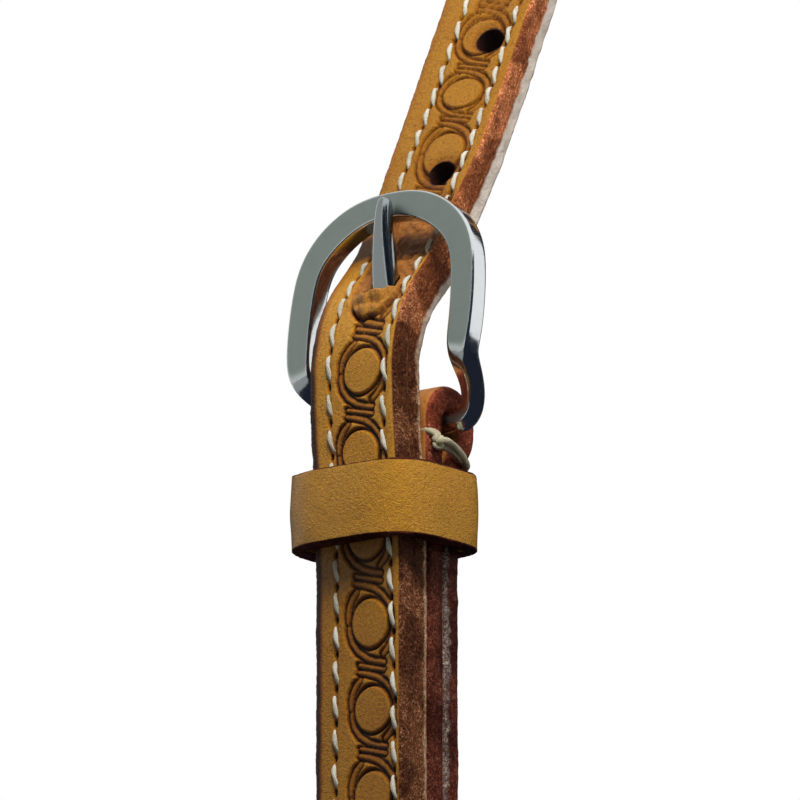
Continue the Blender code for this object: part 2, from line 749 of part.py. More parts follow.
def screw_pair(label, word, drop, side, at):
    """Post with its head outside and a screw with its head inside, met in the post's bore."""
    place = (at[0] + side * CHEEK_MIDDLE, at[1], at[2] - drop)
    outside = PINCHED + CHEEK_LAYER / 2
    head, edge, rim = SCREW_HEAD_HEIGHT, SCREW_HEAD_EDGE, SCREW_HEAD_RADIUS
    seat = outside + SEAT_GAP
    post = [
        (0.0, SCREW_STUB_RADIUS + SEAT_GAP),
        (-outside, SCREW_STUB_RADIUS + SEAT_GAP),
        (-outside, SCREW_BARREL_RADIUS),
        (seat, SCREW_BARREL_RADIUS),
        (seat, rim),
        (seat + head - edge, rim),
        (seat + head, rim - edge),
    ]
    turned(f"{label}_{word}_screw_post", post, side, place)
    screw = [
        (-SEAT_GAP, SCREW_STUB_RADIUS),
        (-seat, SCREW_STUB_RADIUS),
        (-seat, rim),
        (-seat - head + edge, rim),
        (-seat - head, rim - edge),
    ]
    turned(f"{label}_{word}_screw", screw, side, place)


def browband_loop():
    """Radius of the end loops and half the straight run beside the crown."""
    radius = BILLET_THICK / 2 + SEAT_GAP + BROWBAND_LAYER / 2
    return radius, STRAP_WIDTH / 2 + BROWBAND_LOOP_LEAD


def browband_strap():
    """Outer strap of the browband; each end is folded round the crown and back inside the strap."""
    radius, lead = browband_loop()
    layer = BROWBAND_LAYER + SEAT_GAP
    shift = 2 * radius - layer
    half = [("run", BROWBAND_TURNBACK)] + sideways(shift, BROWBAND_JOIN, BEND_FACET_TURN)
    half += [
        ("run", 2 * lead),
        ("arc", radius, -180.0, BEND_FACET_TURN),
        ("run", 2 * lead + BROWBAND_JOIN + BROWBAND_TURNBACK + 2 * SEAT_GAP),
    ]
    bend = CROWN_HALF_SPAN + radius
    start = (bend - layer, -(lead + BROWBAND_JOIN + BROWBAND_TURNBACK) - BILLET_SIDE_SHIFT)
    path = walk(start, 90.0, half + [("arc", bend, -180.0, STRAP_FACET_TURN)] + half[::-1])
    verts, faces = skin(level_strap(path, STRAP_WIDTH, BROWBAND_LAYER, 0.0))
    return add_object("browband_strap", verts, faces, (0.0, 0.0, -BROWBAND_DROP), CHEEK_FINISH)


def browband_lining():
    """Inner layer of the browband between the two turnbacks."""
    radius, lead = browband_loop()
    bend = CROWN_HALF_SPAN + radius
    ends = lead + BROWBAND_JOIN + BROWBAND_TURNBACK + SEAT_GAP
    moves = [("run", SEAT_GAP), ("arc", bend, -180.0, STRAP_FACET_TURN), ("run", SEAT_GAP)]
    path = walk((bend, -ends - BILLET_SIDE_SHIFT), -90.0, moves)
    offset = BROWBAND_LAYER + SEAT_GAP
    verts, faces = skin(level_strap(path, STRAP_WIDTH, BROWBAND_LAYER, offset))
    return add_object("browband_lining", verts, faces, (0.0, 0.0, -BROWBAND_DROP), LINING_FINISH)


def side_pieces(label, side):
    """Buckle, tongue, tail, cheek strap, lace, keeper and screws of one side."""
    at = (side * BUCKLE_OUT, 0.0, -BUCKLE_DROP)
    buckle_frame(f"{label}_buckle_frame", side, at)
    buckle_tongue(f"{label}_buckle_tongue", side, at)
    tail_layer(f"{label}_billet_tail_face", -LAYER_OFFSET, side, at, FACE_FINISH)
    tail_layer(f"{label}_billet_tail_lining", LAYER_OFFSET, side, at, LINING_FINISH)
    cheek_strap(f"{label}_cheek_strap", label, side, at)
    cheek_lining(f"{label}_cheek_lining", side, at)
    turnback_lace(f"{label}_turnback_lace", side, at)
    keeper(f"{label}_keeper", side, (at[0], at[1], at[2] - KEEPER_DROP))
    screw_pair(label, "upper", SCREW_UPPER_DROP, side, at)
    screw_pair(label, "lower", SCREW_LOWER_DROP, side, at)


def build():
    remove_everything()
    cutters = []
    for label, side in (("near", 1), ("off", -1)):
        at = (side * BUCKLE_OUT, 0.0, -BUCKLE_DROP)
        cutters += hole_cutters(side, label)
        cutters.append(tongue_hole_cutter(side, label, at))
    crown_layer("crown_face", LAYER_OFFSET, FACE_FINISH, cutters)
    crown_layer("crown_lining", -LAYER_OFFSET, LINING_FINISH, cutters)
    side_pieces("near", 1)
    side_pieces("off", -1)
    browband_strap()
    browband_lining()


build()
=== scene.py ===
# %% [markdown]
# # A stamped leather headstall, seen at its near buckle
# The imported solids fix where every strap, buckle and screw lies. This lesson dresses them:
# the leather gets its stamped rope border, grain and raw edges, the seams get their thread,
# and the buckle gets its polish. Lengths are metres, up is +Z, and the horse faces -Y.

# %% Load the solids
import json
import math

import bmesh
import bpy
import numpy as np
from mathutils import Matrix, Vector

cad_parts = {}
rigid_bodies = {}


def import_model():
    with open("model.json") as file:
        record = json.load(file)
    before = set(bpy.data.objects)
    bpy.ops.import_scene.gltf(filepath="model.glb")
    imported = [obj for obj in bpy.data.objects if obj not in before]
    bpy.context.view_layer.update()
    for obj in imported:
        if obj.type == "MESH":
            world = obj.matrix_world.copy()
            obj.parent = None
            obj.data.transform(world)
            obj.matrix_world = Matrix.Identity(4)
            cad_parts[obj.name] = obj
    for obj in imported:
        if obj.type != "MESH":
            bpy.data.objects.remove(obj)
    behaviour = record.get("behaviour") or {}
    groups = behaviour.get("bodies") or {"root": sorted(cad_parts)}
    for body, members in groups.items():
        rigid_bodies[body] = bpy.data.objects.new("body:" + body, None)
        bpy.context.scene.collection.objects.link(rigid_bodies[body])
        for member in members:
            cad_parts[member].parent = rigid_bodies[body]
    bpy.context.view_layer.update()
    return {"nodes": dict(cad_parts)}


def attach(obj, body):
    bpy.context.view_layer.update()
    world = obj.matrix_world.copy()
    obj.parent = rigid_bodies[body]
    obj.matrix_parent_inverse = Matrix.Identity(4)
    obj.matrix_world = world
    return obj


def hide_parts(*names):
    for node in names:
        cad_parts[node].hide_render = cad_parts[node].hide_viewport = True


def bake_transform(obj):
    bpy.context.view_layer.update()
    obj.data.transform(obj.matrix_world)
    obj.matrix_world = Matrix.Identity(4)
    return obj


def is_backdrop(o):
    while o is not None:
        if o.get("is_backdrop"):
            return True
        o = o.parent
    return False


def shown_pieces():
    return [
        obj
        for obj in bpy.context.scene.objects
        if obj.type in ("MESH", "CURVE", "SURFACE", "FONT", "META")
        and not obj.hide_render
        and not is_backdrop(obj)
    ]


for unused in list(bpy.data.objects):
    bpy.data.objects.remove(unused, do_unlink=True)
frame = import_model()
bpy.ops.object.select_all(action='DESELECT')

# %% [markdown]
# The camera comes first, so that every later choice can be judged in the picture. It looks up a
# little at the near buckle from outside and behind, from far enough to flatten the perspective.

# %% Camera
VIEW_AZIMUTH = 128.5
VIEW_ELEVATION = -13.5
CAMERA_DISTANCE = 0.9
IMAGE_SIDE = 800
PIXELS_PER_METRE = 6900.0
LOOK_AT = Vector((0.10705, 0.0, -0.2306))
SENSOR = 36.0

turn, lift = math.radians(VIEW_AZIMUTH), math.radians(VIEW_ELEVATION)
to_camera = Vector((math.sin(turn) * math.cos(lift), -math.cos(turn) * math.cos(lift), math.sin(lift)))
camera_right = Vector((math.cos(turn), math.sin(turn), 0.0))
camera_up = to_camera.cross(camera_right)

bpy.ops.object.camera_add(location=LOOK_AT + to_camera * CAMERA_DISTANCE)
camera = bpy.context.object
camera.rotation_euler = Matrix((camera_right, camera_up, to_camera)).transposed().to_euler()
camera.data.sensor_width = SENSOR
camera.data.lens = CAMERA_DISTANCE * SENSOR * PIXELS_PER_METRE / IMAGE_SIDE
camera.data.clip_start = 0.01
bpy.context.scene.camera = camera
print("lens:", round(camera.data.lens, 1))

# %% [markdown]
# The straps are long bands that follow runs and arcs, so each is described once by its middle
# line. A band's surface is then addressed like a map: how far along, how far across, how far out.

# %% Sizes of the straps
MM = 0.001
STRAP_WIDTH = 15.9 * MM
SEAT_GAP = 0.3 * MM
BILLET_LAYER = 2.95 * MM
CHEEK_LAYER = 3.6 * MM
BROWBAND_LAYER = 2.8 * MM
HEEL_BAR_RADIUS = 1.75 * MM
BUCKLE_OUT = 105 * MM
BUCKLE_DROP = 235 * MM
TAIL_LENGTH = 90 * MM
POLL_FLAT = 20 * MM
CROWN_HALF_SPAN = 72 * MM
POLL_BEND = CROWN_HALF_SPAN - POLL_FLAT / 2
BILLET_SIDE_SHIFT = 1.2 * MM
BILLET_THICK = 2 * BILLET_LAYER + SEAT_GAP
BAR_SEAT = HEEL_BAR_RADIUS + SEAT_GAP
FOLD_MIDDLE = BAR_SEAT + CHEEK_LAYER / 2
PINCHED = (SEAT_GAP + CHEEK_LAYER) / 2
TURNBACK_MIDDLE = FOLD_MIDDLE - 2 * PINCHED
CHEEK_MIDDLE = FOLD_MIDDLE - PINCHED
BILLET_BACK = BAR_SEAT + CHEEK_LAYER + SEAT_GAP
BILLET_MIDDLE = BILLET_BACK + BILLET_THICK / 2
LAYER_OFFSET = (BILLET_LAYER + SEAT_GAP) / 2


# %% A band's middle line
def length_of(moves):
    """Length of ("run", length) and ("arc", radius, degrees) moves."""
    return sum(m[1] if m[0] == "run" else m[1] * abs(math.radians(m[2])) for m in moves)


class Line:
    """Runs and arcs in an upright (X, Z) or level (X, Y) plane; left turns are positive.

    The band's face is on the line's right, or on its left if side is -1. A worn strap doesn't lie
    true, so sway gives how far it has moved aside, and its twist, at a distance.
    """

    def __init__(self, start, heading, moves, level=None, shift=0.0, side=1, sway=None):
        self.start, self.heading, self.moves = start, math.radians(heading), moves
        self.level, self.shift, self.side, self.sway = level, shift, side, sway
        self.length = length_of(moves)

    def trace(self, along):
        """Points and right-hand normals at an array of distances."""
        along = np.asarray(along, float)
        points, normals = np.zeros(along.shape + (2,)), np.zeros(along.shape + (2,))
        (x, z), angle, gone = self.start, self.heading, 0.0
        for move in self.moves:
            here = along >= gone - 1e-9
            far = along[here] - gone
            if move[0] == "run":
                sin, cos, size = math.sin(angle), math.cos(angle), move[1]
                points[here] = np.stack([x + far * cos, z + far * sin], -1)
                normals[here] = (sin, -cos)
                x, z = x + size * cos, z + size * sin
            else:
                bend, side = math.radians(move[2]), math.copysign(1.0, move[2])
                radius, size = move[1], move[1] * abs(bend)
                cx, cz = x - side * radius * math.sin(angle), z + side * radius * math.cos(angle)
                now = angle + side * far / radius
                sin, cos = np.sin(now), np.cos(now)
                points[here] = np.stack([cx + side * radius * sin, cz - side * radius * cos], -1)
                normals[here] = np.stack([sin, -cos], -1)
                angle += bend
                x, z = cx + side * radius * math.sin(angle), cz - side * radius * math.cos(angle)
            gone += size
        return points, normals

    def place(self, along, across, out):
        """World points of along, across and out, three arrays of one shape."""
        across, out = np.asarray(across, float), np.asarray(out, float)
        if self.sway is not None:
            aside, twist = self.sway(np.asarray(along, float))
            cos, sin = np.cos(twist), np.sin(twist)
            across, out = across * cos - out * sin + aside, across * sin + out * cos
        points, normals = self.trace(along)
        flat = points + normals * (self.side * out)[..., None]
        other = across + self.shift
        if self.level is None:
            return np.stack([flat[..., 0], other, flat[..., 1]], -1)
        return np.stack([flat[..., 0], flat[..., 1], other + self.level], -1)


def sideways(shift, length):
    """Two arcs that move a line sideways over a length."""
    bend = 2 * math.atan2(abs(shift), length)
    radius = length / (2 * math.sin(bend))
    degrees = math.copysign(math.degrees(bend), shift)
    return [("arc", radius, degrees), ("arc", radius, -degrees)]


# %% [markdown]
# The crown strap is one band from the near tip to the off tip. It rises past the heel bar, leans in
# behind the buckle's arch, eases upright and bends over the poll.

# %% Middle line of the crown
BEND_IN, BEND_IN_TURN = 20 * MM, 41.0
BEHIND_ARCH, BILLET_RISE = 4.5 * MM, 6.5 * MM
BEND_BACK, BEND_BACK_TURN = 30 * MM, 15.5
BILLET_EASE = 80 * MM


def crown_half():
    """Moves from the heel bar to the middle of the poll."""
    bend, lean = math.radians(BEND_IN_TURN), math.radians(BEND_IN_TURN - BEND_BACK_TURN)
    sb, cb, sl, cl = math.sin(bend), math.cos(bend), math.sin(lean), math.cos(lean)
    inward = BUCKLE_OUT + BILLET_MIDDLE - CROWN_HALF_SPAN
    inward -= BEND_IN * (1 - cb) + BEHIND_ARCH * sb + BEND_BACK * (cl - cb) + BILLET_EASE * (1 - cl)
    leaning = inward / sl
    risen = BILLET_RISE + BEND_IN * sb + BEHIND_ARCH * cb + BEND_BACK * (sb - sl)
    risen += leaning * cl + BILLET_EASE * sl
    upright = BUCKLE_DROP + BILLET_THICK / 2 - POLL_BEND - risen
    return [
        ("run", BILLET_RISE), ("arc", BEND_IN, BEND_IN_TURN), ("run", BEHIND_ARCH),
        ("arc", BEND_BACK, -BEND_BACK_TURN), ("run", leaning),
        ("arc", BILLET_EASE, -(BEND_IN_TURN - BEND_BACK_TURN)), ("run", upright),
        ("arc", POLL_BEND, 90.0), ("run", POLL_FLAT / 2),
    ]


half = crown_half()
crown_moves = [("run", TAIL_LENGTH)] + half + half[::-1] + [("run", TAIL_LENGTH)]
CROWN_LENGTH = length_of(crown_moves)
SWAY = np.array([
    # above the heel bar in mm, aside in mm, twist in degrees
    (-60, 1.4, 0), (-22, 1.4, 0), (-10, 1.0, 0), (-2, 0.4, 0), (6, 0.1, 0), (36, 0.1, -1), (48, 0.7, -7),
    (60, 0.8, -9), (80, 0.8, -9), (110, 0, 0)])


def above_bar(along):
    """Distance above the heel bar of the nearer side."""
    return np.minimum(along, CROWN_LENGTH - along) - TAIL_LENGTH


def crown_sway(along):
    """Sway of the crown strap: the tail lies to the rear, and the leather twists above the buckle."""
    aside, twist = (np.interp(above_bar(along) / MM, SWAY[:, 0], SWAY[:, k]) for k in (1, 2))
    return aside * MM, np.radians(twist)


crown_line = Line((BUCKLE_OUT + BILLET_MIDDLE, -BUCKLE_DROP - TAIL_LENGTH), 90.0, crown_moves,
                  shift=-BILLET_SIDE_SHIFT, sway=crown_sway)
print("crown strap, tip to tip:", round(crown_line.length, 3), "m")

# %% [markdown]
# Hand-stamped leather is never quite regular. Two seeded noises give every band its small wander
# and its rough cut edge, the same on every run.

# %% Noise for geometry
def wander(along, step, seed):
    """Smooth noise from -1 to 1 along a line, with a new value every step."""
    values = np.random.default_rng(seed).uniform(-1, 1, 4096)
    place = np.asarray(along, float) / step + 512
    whole = np.floor(place).astype(int)
    part = place - whole
    part = part * part * (3 - 2 * part)
    return values[whole % 4096] * (1 - part) + values[(whole + 1) % 4096] * part


def rough(first, second, step, seed):
    """Smooth noise from -1 to 1 over two lengths."""
    values = np.random.default_rng(seed).uniform(-1, 1, (256, 256))
    a, b = np.asarray(first, float) / step + 512, np.asarray(second, float) / step + 512
    i, j = np.floor(a).astype(int), np.floor(b).astype(int)
    p, q = a - i, b - j
    p, q = p * p * (3 - 2 * p), q * q * (3 - 2 * q)
    low = values[i % 256, j % 256] * (1 - q) + values[i % 256, (j + 1) % 256] * q
    high = values[(i + 1) % 256, j % 256] * (1 - q) + values[(i + 1) % 256, (j + 1) % 256] * q
    return low * (1 - p) + high * p


def ease(low, high, value):
    """Smooth step from 0 at low to 1 at high."""
    share = np.clip((value - low) / (high - low), 0, 1)
    return share * share * (3 - 2 * share)


def between(value, start, full, fading, end):
    """1 from full to fading, and 0 before start and past end."""
    return ease(start, full, value) * (1 - ease(fading, end, value))


def hump(value, width):
    """A round hump, 1 high at 0."""
    return np.exp(-(value / width) ** 2)


# %% [markdown]
# The border is a common rope-and-disc stamp. One stroke of it is worked out as a height map: raised
# strands wrap each disc, three short bars cross between discs, and the ground round them is pressed
# down. The map repeats every 12.7 mm, so bands look it up instead of working it out again.

# %% One stroke of the stamp, in millimetres from its disc's middle (across, along)
STAMP_PITCH = 12.7
STAMP_REACH = 7.0
TILE_STEP = 0.05
DISC_ACROSS, DISC_ALONG = 3.42, 3.72
GROUND_DEPTH = 0.80
LONG_STRAND = [
    # across, along, half width
    (-3.95, 0.25, 0.40), (-3.9, 1.2, 0.46), (-3.45, 2.5, 0.52), (-2.4, 3.9, 0.55), (-0.85, 4.92, 0.55),
    (0.9, 5.52, 0.52), (2.35, 5.86, 0.44),
]
SHORT_STRAND = [
    (-2.2, -4.65, 0.52), (-3.05, -3.85, 0.58), (-3.7, -2.8, 0.54), (-4.0, -1.7, 0.50), (-4.05, -0.45, 0.38),
]
BAR_STRAND = [(-2.25, 5.78, 0.42), (2.25, 6.92, 0.42)]
DENTS = [(-3.0, 4.95), (-3.1, 5.75), (-3.05, 6.55)]
DENT_HALF = 0.40
STRAND_LOW, DENT_LOW, ROUNDING = -0.68, -0.50, 0.46
DISC_LOW = 0.04
FAR, HIDDEN = 1e9, -9


def strand_share(points, flip, x, y):
    """Distance to a strand as a share of its half width, and the distance beyond its side."""
    share, beyond = np.full(x.shape, FAR), np.full(x.shape, FAR)
    for (ax, ay, aw), (bx, by, bw) in zip(points, points[1:]):
        ax, ay, bx, by = flip * ax, flip * ay, flip * bx, flip * by
        dx, dy = bx - ax, by - ay
        t = np.clip(((x - ax) * dx + (y - ay) * dy) / (dx * dx + dy * dy), 0, 1)
        far = np.hypot(x - ax - t * dx, y - ay - t * dy)
        half_width = aw + t * (bw - aw)
        share = np.minimum(share, far / half_width)
        beyond = np.minimum(beyond, far - half_width)
    return share, beyond


def stamp_tile():
    """Height of one stroke, at 0 on the leather's face and negative below it."""
    along, across = np.meshgrid(
        np.arange(0, STAMP_PITCH, TILE_STEP), np.arange(-STAMP_REACH, STAMP_REACH, TILE_STEP), indexing="ij")
    share, beyond, dent, disc = (np.full(along.shape, FAR) for _ in range(4))
    for copy in (-1, 0, 1):
        u = along - copy * STAMP_PITCH
        for flip in (1, -1):
            for strand in (LONG_STRAND, SHORT_STRAND) + ((BAR_STRAND,) if flip > 0 else ()):
                near, over = strand_share(strand, flip, across, u)
                share, beyond = np.minimum(share, near), np.minimum(beyond, over)
        for p, q in DENTS:
            dent = np.minimum(dent, np.hypot(across - p, u - q))
        disc = np.minimum(disc, np.hypot(across / DISC_ACROSS, u / DISC_ALONG))
    height = -GROUND_DEPTH * np.maximum(1 - ease(0.04, 0.32, beyond), 1 - ease(1.0, 1.14, disc))
    for part, low in ((share, STRAND_LOW), (dent / DENT_HALF, DENT_LOW)):
        round_top = np.sqrt(np.clip(1 - np.minimum(part, 1) ** 2, 0, 1))
        height = np.maximum(height, np.where(part < 1, low + ROUNDING * round_top, HIDDEN))
    rise = ease(-0.05, 0.40, (1 - disc) * DISC_ALONG)
    return np.maximum(height, np.where(disc < 1, -GROUND_DEPTH + (GROUND_DEPTH - DISC_LOW) * rise, HIDDEN))


stamp = stamp_tile()
print("stamp map:", stamp.shape, "depth", round(float(-stamp.min()), 2), "mm")


def stamped(along, across):
    """Height in metres at distances from a disc's middle, down and across the border."""
    a = np.mod(along / MM, STAMP_PITCH) / TILE_STEP
    b = np.clip((across / MM + STAMP_REACH) / TILE_STEP, 0, stamp.shape[1] - 1.001)
    i, j = np.floor(a).astype(int) % stamp.shape[0], np.floor(b).astype(int)
    p, q, n = a - np.floor(a), b - j, (i + 1) % stamp.shape[0]
    low = stamp[i, j] * (1 - q) + stamp[i, j + 1] * q
    high = stamp[n, j] * (1 - q) + stamp[n, j + 1] * q
    return (low * (1 - p) + high * p) * MM


# %% [markdown]
# A seam runs down each side of the border in a shallow channel. Every stitch dives into a slit, so
# the channel has a deeper pit between each two stitches.

# %% Seam channels
STITCH_PITCH = 5.0 * MM
CHANNEL_DEPTH, CHANNEL_HALF = 0.14 * MM, 0.60 * MM
PIT_DEPTH, PIT_HALF = 0.95 * MM, 0.34 * MM


def channel(count, across):
    """Height of one seam's channel and pits; stitches lie at whole counts, across is from the seam."""
    groove = -CHANNEL_DEPTH * (1 - ease(0.25 * CHANNEL_HALF, CHANNEL_HALF, np.abs(across)))
    off = np.abs(np.mod(count, 1.0) - 0.5) * STITCH_PITCH
    pit = -PIT_DEPTH * (1 - ease(0.4 * PIT_HALF, 1.5 * PIT_HALF, np.hypot(across * 1.25, off * 0.6)))
    return np.minimum(groove, pit)


# %% [markdown]
# A band is a closed skin: rings of points, each ring the band's section. The face is dense enough
# to hold the stamp, and the rest only as dense as its roughness needs. Attributes go with it for the
# dye: how deep a point is pressed in, which darkens it with dye and painted shade, whether it is on the
# cut edge, and how far along it lies.

# %% Band section and skin
def band_section(low, high, face_places, edge_columns, back_columns, top_round, low_round):
    """Columns round a band: across, out, the way that the surface faces there, and share of cut edge."""
    half = STRAP_WIDTH / 2

    def edge(sign):
        rows = []
        for k in range(1, 5):
            sin, cos = math.sin(math.pi / 2 * k / 5), math.cos(math.pi / 2 * k / 5)
            rows.append((sign * (half - top_round + top_round * sin), high - top_round + top_round * cos,
                         sign * sin, cos, min(1.0, 0.3 * k)))
        for out in np.linspace(high - top_round, low + low_round, edge_columns):
            rows.append((sign * half, out, sign, 0.0, 1.0))
        rows.append((sign * (half - 0.3 * low_round), low + 0.3 * low_round, 0.7 * sign, -0.7, 0.8))
        rows.append((sign * (half - low_round), low, 0.0, -1.0, 0.5))
        return rows

    inner = half - low_round
    face = [(across, high, 0.0, 1.0, 0.0) for across in face_places]
    back = [(across, low, 0.0, -1.0, 0.0) for across in np.linspace(inner, -inner, back_columns + 2)[1:-1]]
    return np.array(face + edge(1) + back + edge(-1)[::-1])


def fine_columns(rounding, fine_low, fine_high, fine, coarse):
    """Places of the face's columns, close together where the stamp is."""
    high = STRAP_WIDTH / 2 - rounding
    stretches = ((-high, fine_low, coarse), (fine_low, fine_high, fine), (fine_high, high, coarse))
    rows = [np.linspace(a, b, max(2, round((b - a) / step)), endpoint=False) for a, b, step in stretches]
    return np.concatenate(rows + [[high]])


def even_columns(margin, count):
    return np.linspace(-STRAP_WIDTH / 2 + margin, STRAP_WIDTH / 2 - margin, count)


def make_object(name, points, faces):
    """A mesh object at the origin from arrays."""
    mesh = bpy.data.meshes.new(name)
    mesh.from_pydata(points.tolist(), [], faces)
    mesh.update()
    mesh.shade_smooth()
    obj = bpy.data.objects.new(name, mesh)
    bpy.context.scene.collection.objects.link(obj)
    return obj


def outward(obj):
    """Turns the faces of a closed mesh outwards."""
    shape = bmesh.new()
    shape.from_mesh(obj.data)
    inside_out = shape.calc_volume(signed=True) < 0
    shape.free()
    if inside_out:
        obj.data.flip_normals()
    return obj


def set_attribute(obj, name, values):
    layer = obj.data.attributes.get(name) or obj.data.attributes.new(name, 'FLOAT', 'POINT')
    layer.data.foreach_set("value", np.asarray(values, np.float32).ravel())


def get_attribute(obj, name):
    values = np.zeros(len(obj.data.vertices))
    obj.data.attributes[name].data.foreach_get("value", values)
    return values


def points_of(obj):
    places = np.zeros(3 * len(obj.data.vertices))
    obj.data.vertices.foreach_get("co", places)
    return places.reshape(-1, 3)


def move_points(obj, points):
    obj.data.vertices.foreach_set("co", points.ravel())
    obj.data.update()


# Height as a share of the edge's roughness, and length, of its lumps, bumps and flecks
LUMP, BUMP, FLECK = (0.8, 1.7 * MM), (0.35, 0.6 * MM), (0.4, 0.25 * MM)
WAVE_HEIGHT, WAVE_LENGTH = 0.05 * MM, 6 * MM
EDGE_ROUGH, LINING_ROUGH = 0.10 * MM, 0.12 * MM
MARGIN_START, MARGIN_FULL, PLAIN_BURNISH = 2.0 * MM, 0.75 * MM, 0.5


def band(name, line, along, section, relief=None, narrow=None, edge_rough=EDGE_ROUGH, seed=1, marks=None,
         burnish=None):
    """Skin a band along its line.

    relief(along, across) raises or lowers the face, burnish(along) tells how dark its front margin
    is rubbed, and marks gives further attributes of the edge as functions of (along, out).
    """
    n, count = len(section), len(along)
    u = np.repeat(along[:, None], n, 1)
    share = np.ones(count) if narrow is None else narrow(along)
    across = section[:, 0] * share[:, None]
    out = np.repeat(section[None, :, 1], count, 0)
    on_face = (section[:, 3] > 0.99)[None, :]
    on_edge = section[None, :, 4]
    sunk = relief(u, across) if relief is not None else np.zeros_like(u)
    side = out + 3 * np.sign(across)
    bumps = LUMP[0] * rough(u, side, LUMP[1], seed) + BUMP[0] * rough(u, side, BUMP[1], seed + 3)
    bumps = bumps + FLECK[0] * rough(u, out + across, FLECK[1], seed + 1)
    height = np.where(on_face, sunk, 0.0) + edge_rough * on_edge * bumps
    height = height + WAVE_HEIGHT * rough(u, across, WAVE_LENGTH, seed + 2)
    points = line.place(u, across + section[:, 2] * height, out + section[:, 3] * height).reshape(-1, 3)
    start, column = np.arange(count - 1)[:, None] * n, np.arange(n)[None, :]
    first, beside = (start + column).ravel(), (start + (column + 1) % n).ravel()
    faces = np.stack([first, first + n, beside + n, beside], 1).tolist()
    faces += [list(range(n)), [(count - 1) * n + k for k in range(n)][::-1]]
    obj = outward(make_object(name, points, faces))
    margin = ease(MARGIN_START, MARGIN_FULL, section[:, 0] + section[:, 0].max()) * (section[:, 3] > 0)
    rubbed = PLAIN_BURNISH if burnish is None else burnish(u)
    dark = margin[None, :] * rubbed * (1 + 0.2 * rough(u, across, 2 * MM, 9))
    # Pressed parts darken, partly from dye that gathers there and partly from painted shade; the rubbed front
    # margin darkens too.
    pressed = np.maximum(np.clip(-sunk / (GROUND_DEPTH * MM), 0, 1), dark)
    set_attribute(obj, "recess", np.where(on_face | (margin > 0)[None, :], np.clip(pressed, 0, 1), 0))
    set_attribute(obj, "cut_edge", np.repeat(on_edge, count, 0))
    set_attribute(obj, "along", u)
    for mark, amount in (marks or {}).items():
        set_attribute(obj, mark, np.repeat(on_edge > 0.2, count, 0) * amount(u, out))
    return obj


def steps(*stretches):
    """Distances along a line from (start, end, step) stretches."""
    rows = [np.arange(a, b - step / 2, step) for a, b, step in stretches]
    return np.concatenate(rows + [[stretches[-1][1]]])


# %% [markdown]
# Cutters and mirrored copies are used by many pieces. A cut is a Boolean modifier that is applied at
# once, and the off side is the near side turned over, with its faces turned back outwards.

# %% Cutting and mirroring
def activate(obj):
    """Select one object alone."""
    bpy.ops.object.select_all(action='DESELECT')
    obj.select_set(True)
    bpy.context.view_layer.objects.active = obj


def apply_modifier(obj, kind, **settings):
    activate(obj)
    mod = obj.modifiers.new(kind.lower(), kind)
    for key, value in settings.items():
        setattr(mod, key, value)
    bpy.ops.object.modifier_apply(modifier=mod.name)


def cut(obj, cutter, solver='MANIFOLD'):
    """Cut with another mesh and remove the cutter."""
    apply_modifier(obj, 'BOOLEAN', operation='DIFFERENCE', object=cutter, solver=solver)
    bpy.data.objects.remove(cutter, do_unlink=True)


def rod_between(start, end, radius):
    """A round rod from start to end."""
    start, end = Vector(start), Vector(end)
    bpy.ops.object.select_all(action='DESELECT')
    bpy.ops.mesh.primitive_cylinder_add(vertices=32, radius=radius, depth=(end - start).length)
    rod = bpy.context.object
    place = (end - start).to_track_quat('Z', 'Y').to_matrix().to_4x4()
    rod.data.transform(Matrix.Translation((start + end) / 2) @ place)
    return rod


def off_copy(obj):
    """The same piece on the off side."""
    copy = obj.copy()
    copy.data = obj.data.copy()
    copy.name = obj.name.replace("near_", "off_")
    copy.data.name = copy.name
    bpy.context.scene.collection.objects.link(copy)
    copy.data.transform(Matrix.Scale(-1, 4, (1, 0, 0)))
    copy.data.flip_normals()
    return copy


# %% [markdown]
# The near billet is the picture's main piece. Its stamp is in step with the punched holes above the
# buckle, and a little drawn together where the leather bends at the tongue's hole. There the pull of
# the tongue has torn the grain: a lip of it stands up below the hole, and ridges run up behind the arch.

# %% Near billet
HOLE_PITCH = 25.4 * MM
TONGUE_HOLE = 17.9 * MM
HOLE_RADIUS = 2.1 * MM
HOLE_SIDE = 2.5 * MM
SPARE_HOLES = [TONGUE_HOLE + k * HOLE_PITCH for k in range(1, 6)]
LIP_EDGE, LIP_SIDE, LIP_HALF, LIP_LENGTH = 17.7 * MM, 1.9 * MM, 3.9 * MM, 3.1 * MM
STAMP_START = -77 * MM
BILLET_END = TAIL_LENGTH + 147 * MM
LIP_HEIGHT, CREASE_DEPTH = 1.35 * MM, 0.75 * MM
TORN_PIT, TORN_PIT_SIDE, TORN_PIT_HALF = 1.25 * MM, 1.3 * MM, 3.2 * MM
TORN_END, TORN_HALF, TORN_RIDGE = -22 * MM, 5.4 * MM, 0.60 * MM
HOLE_RIM, HOLE_RIM_WIDTH = 0.30 * MM, 0.9 * MM
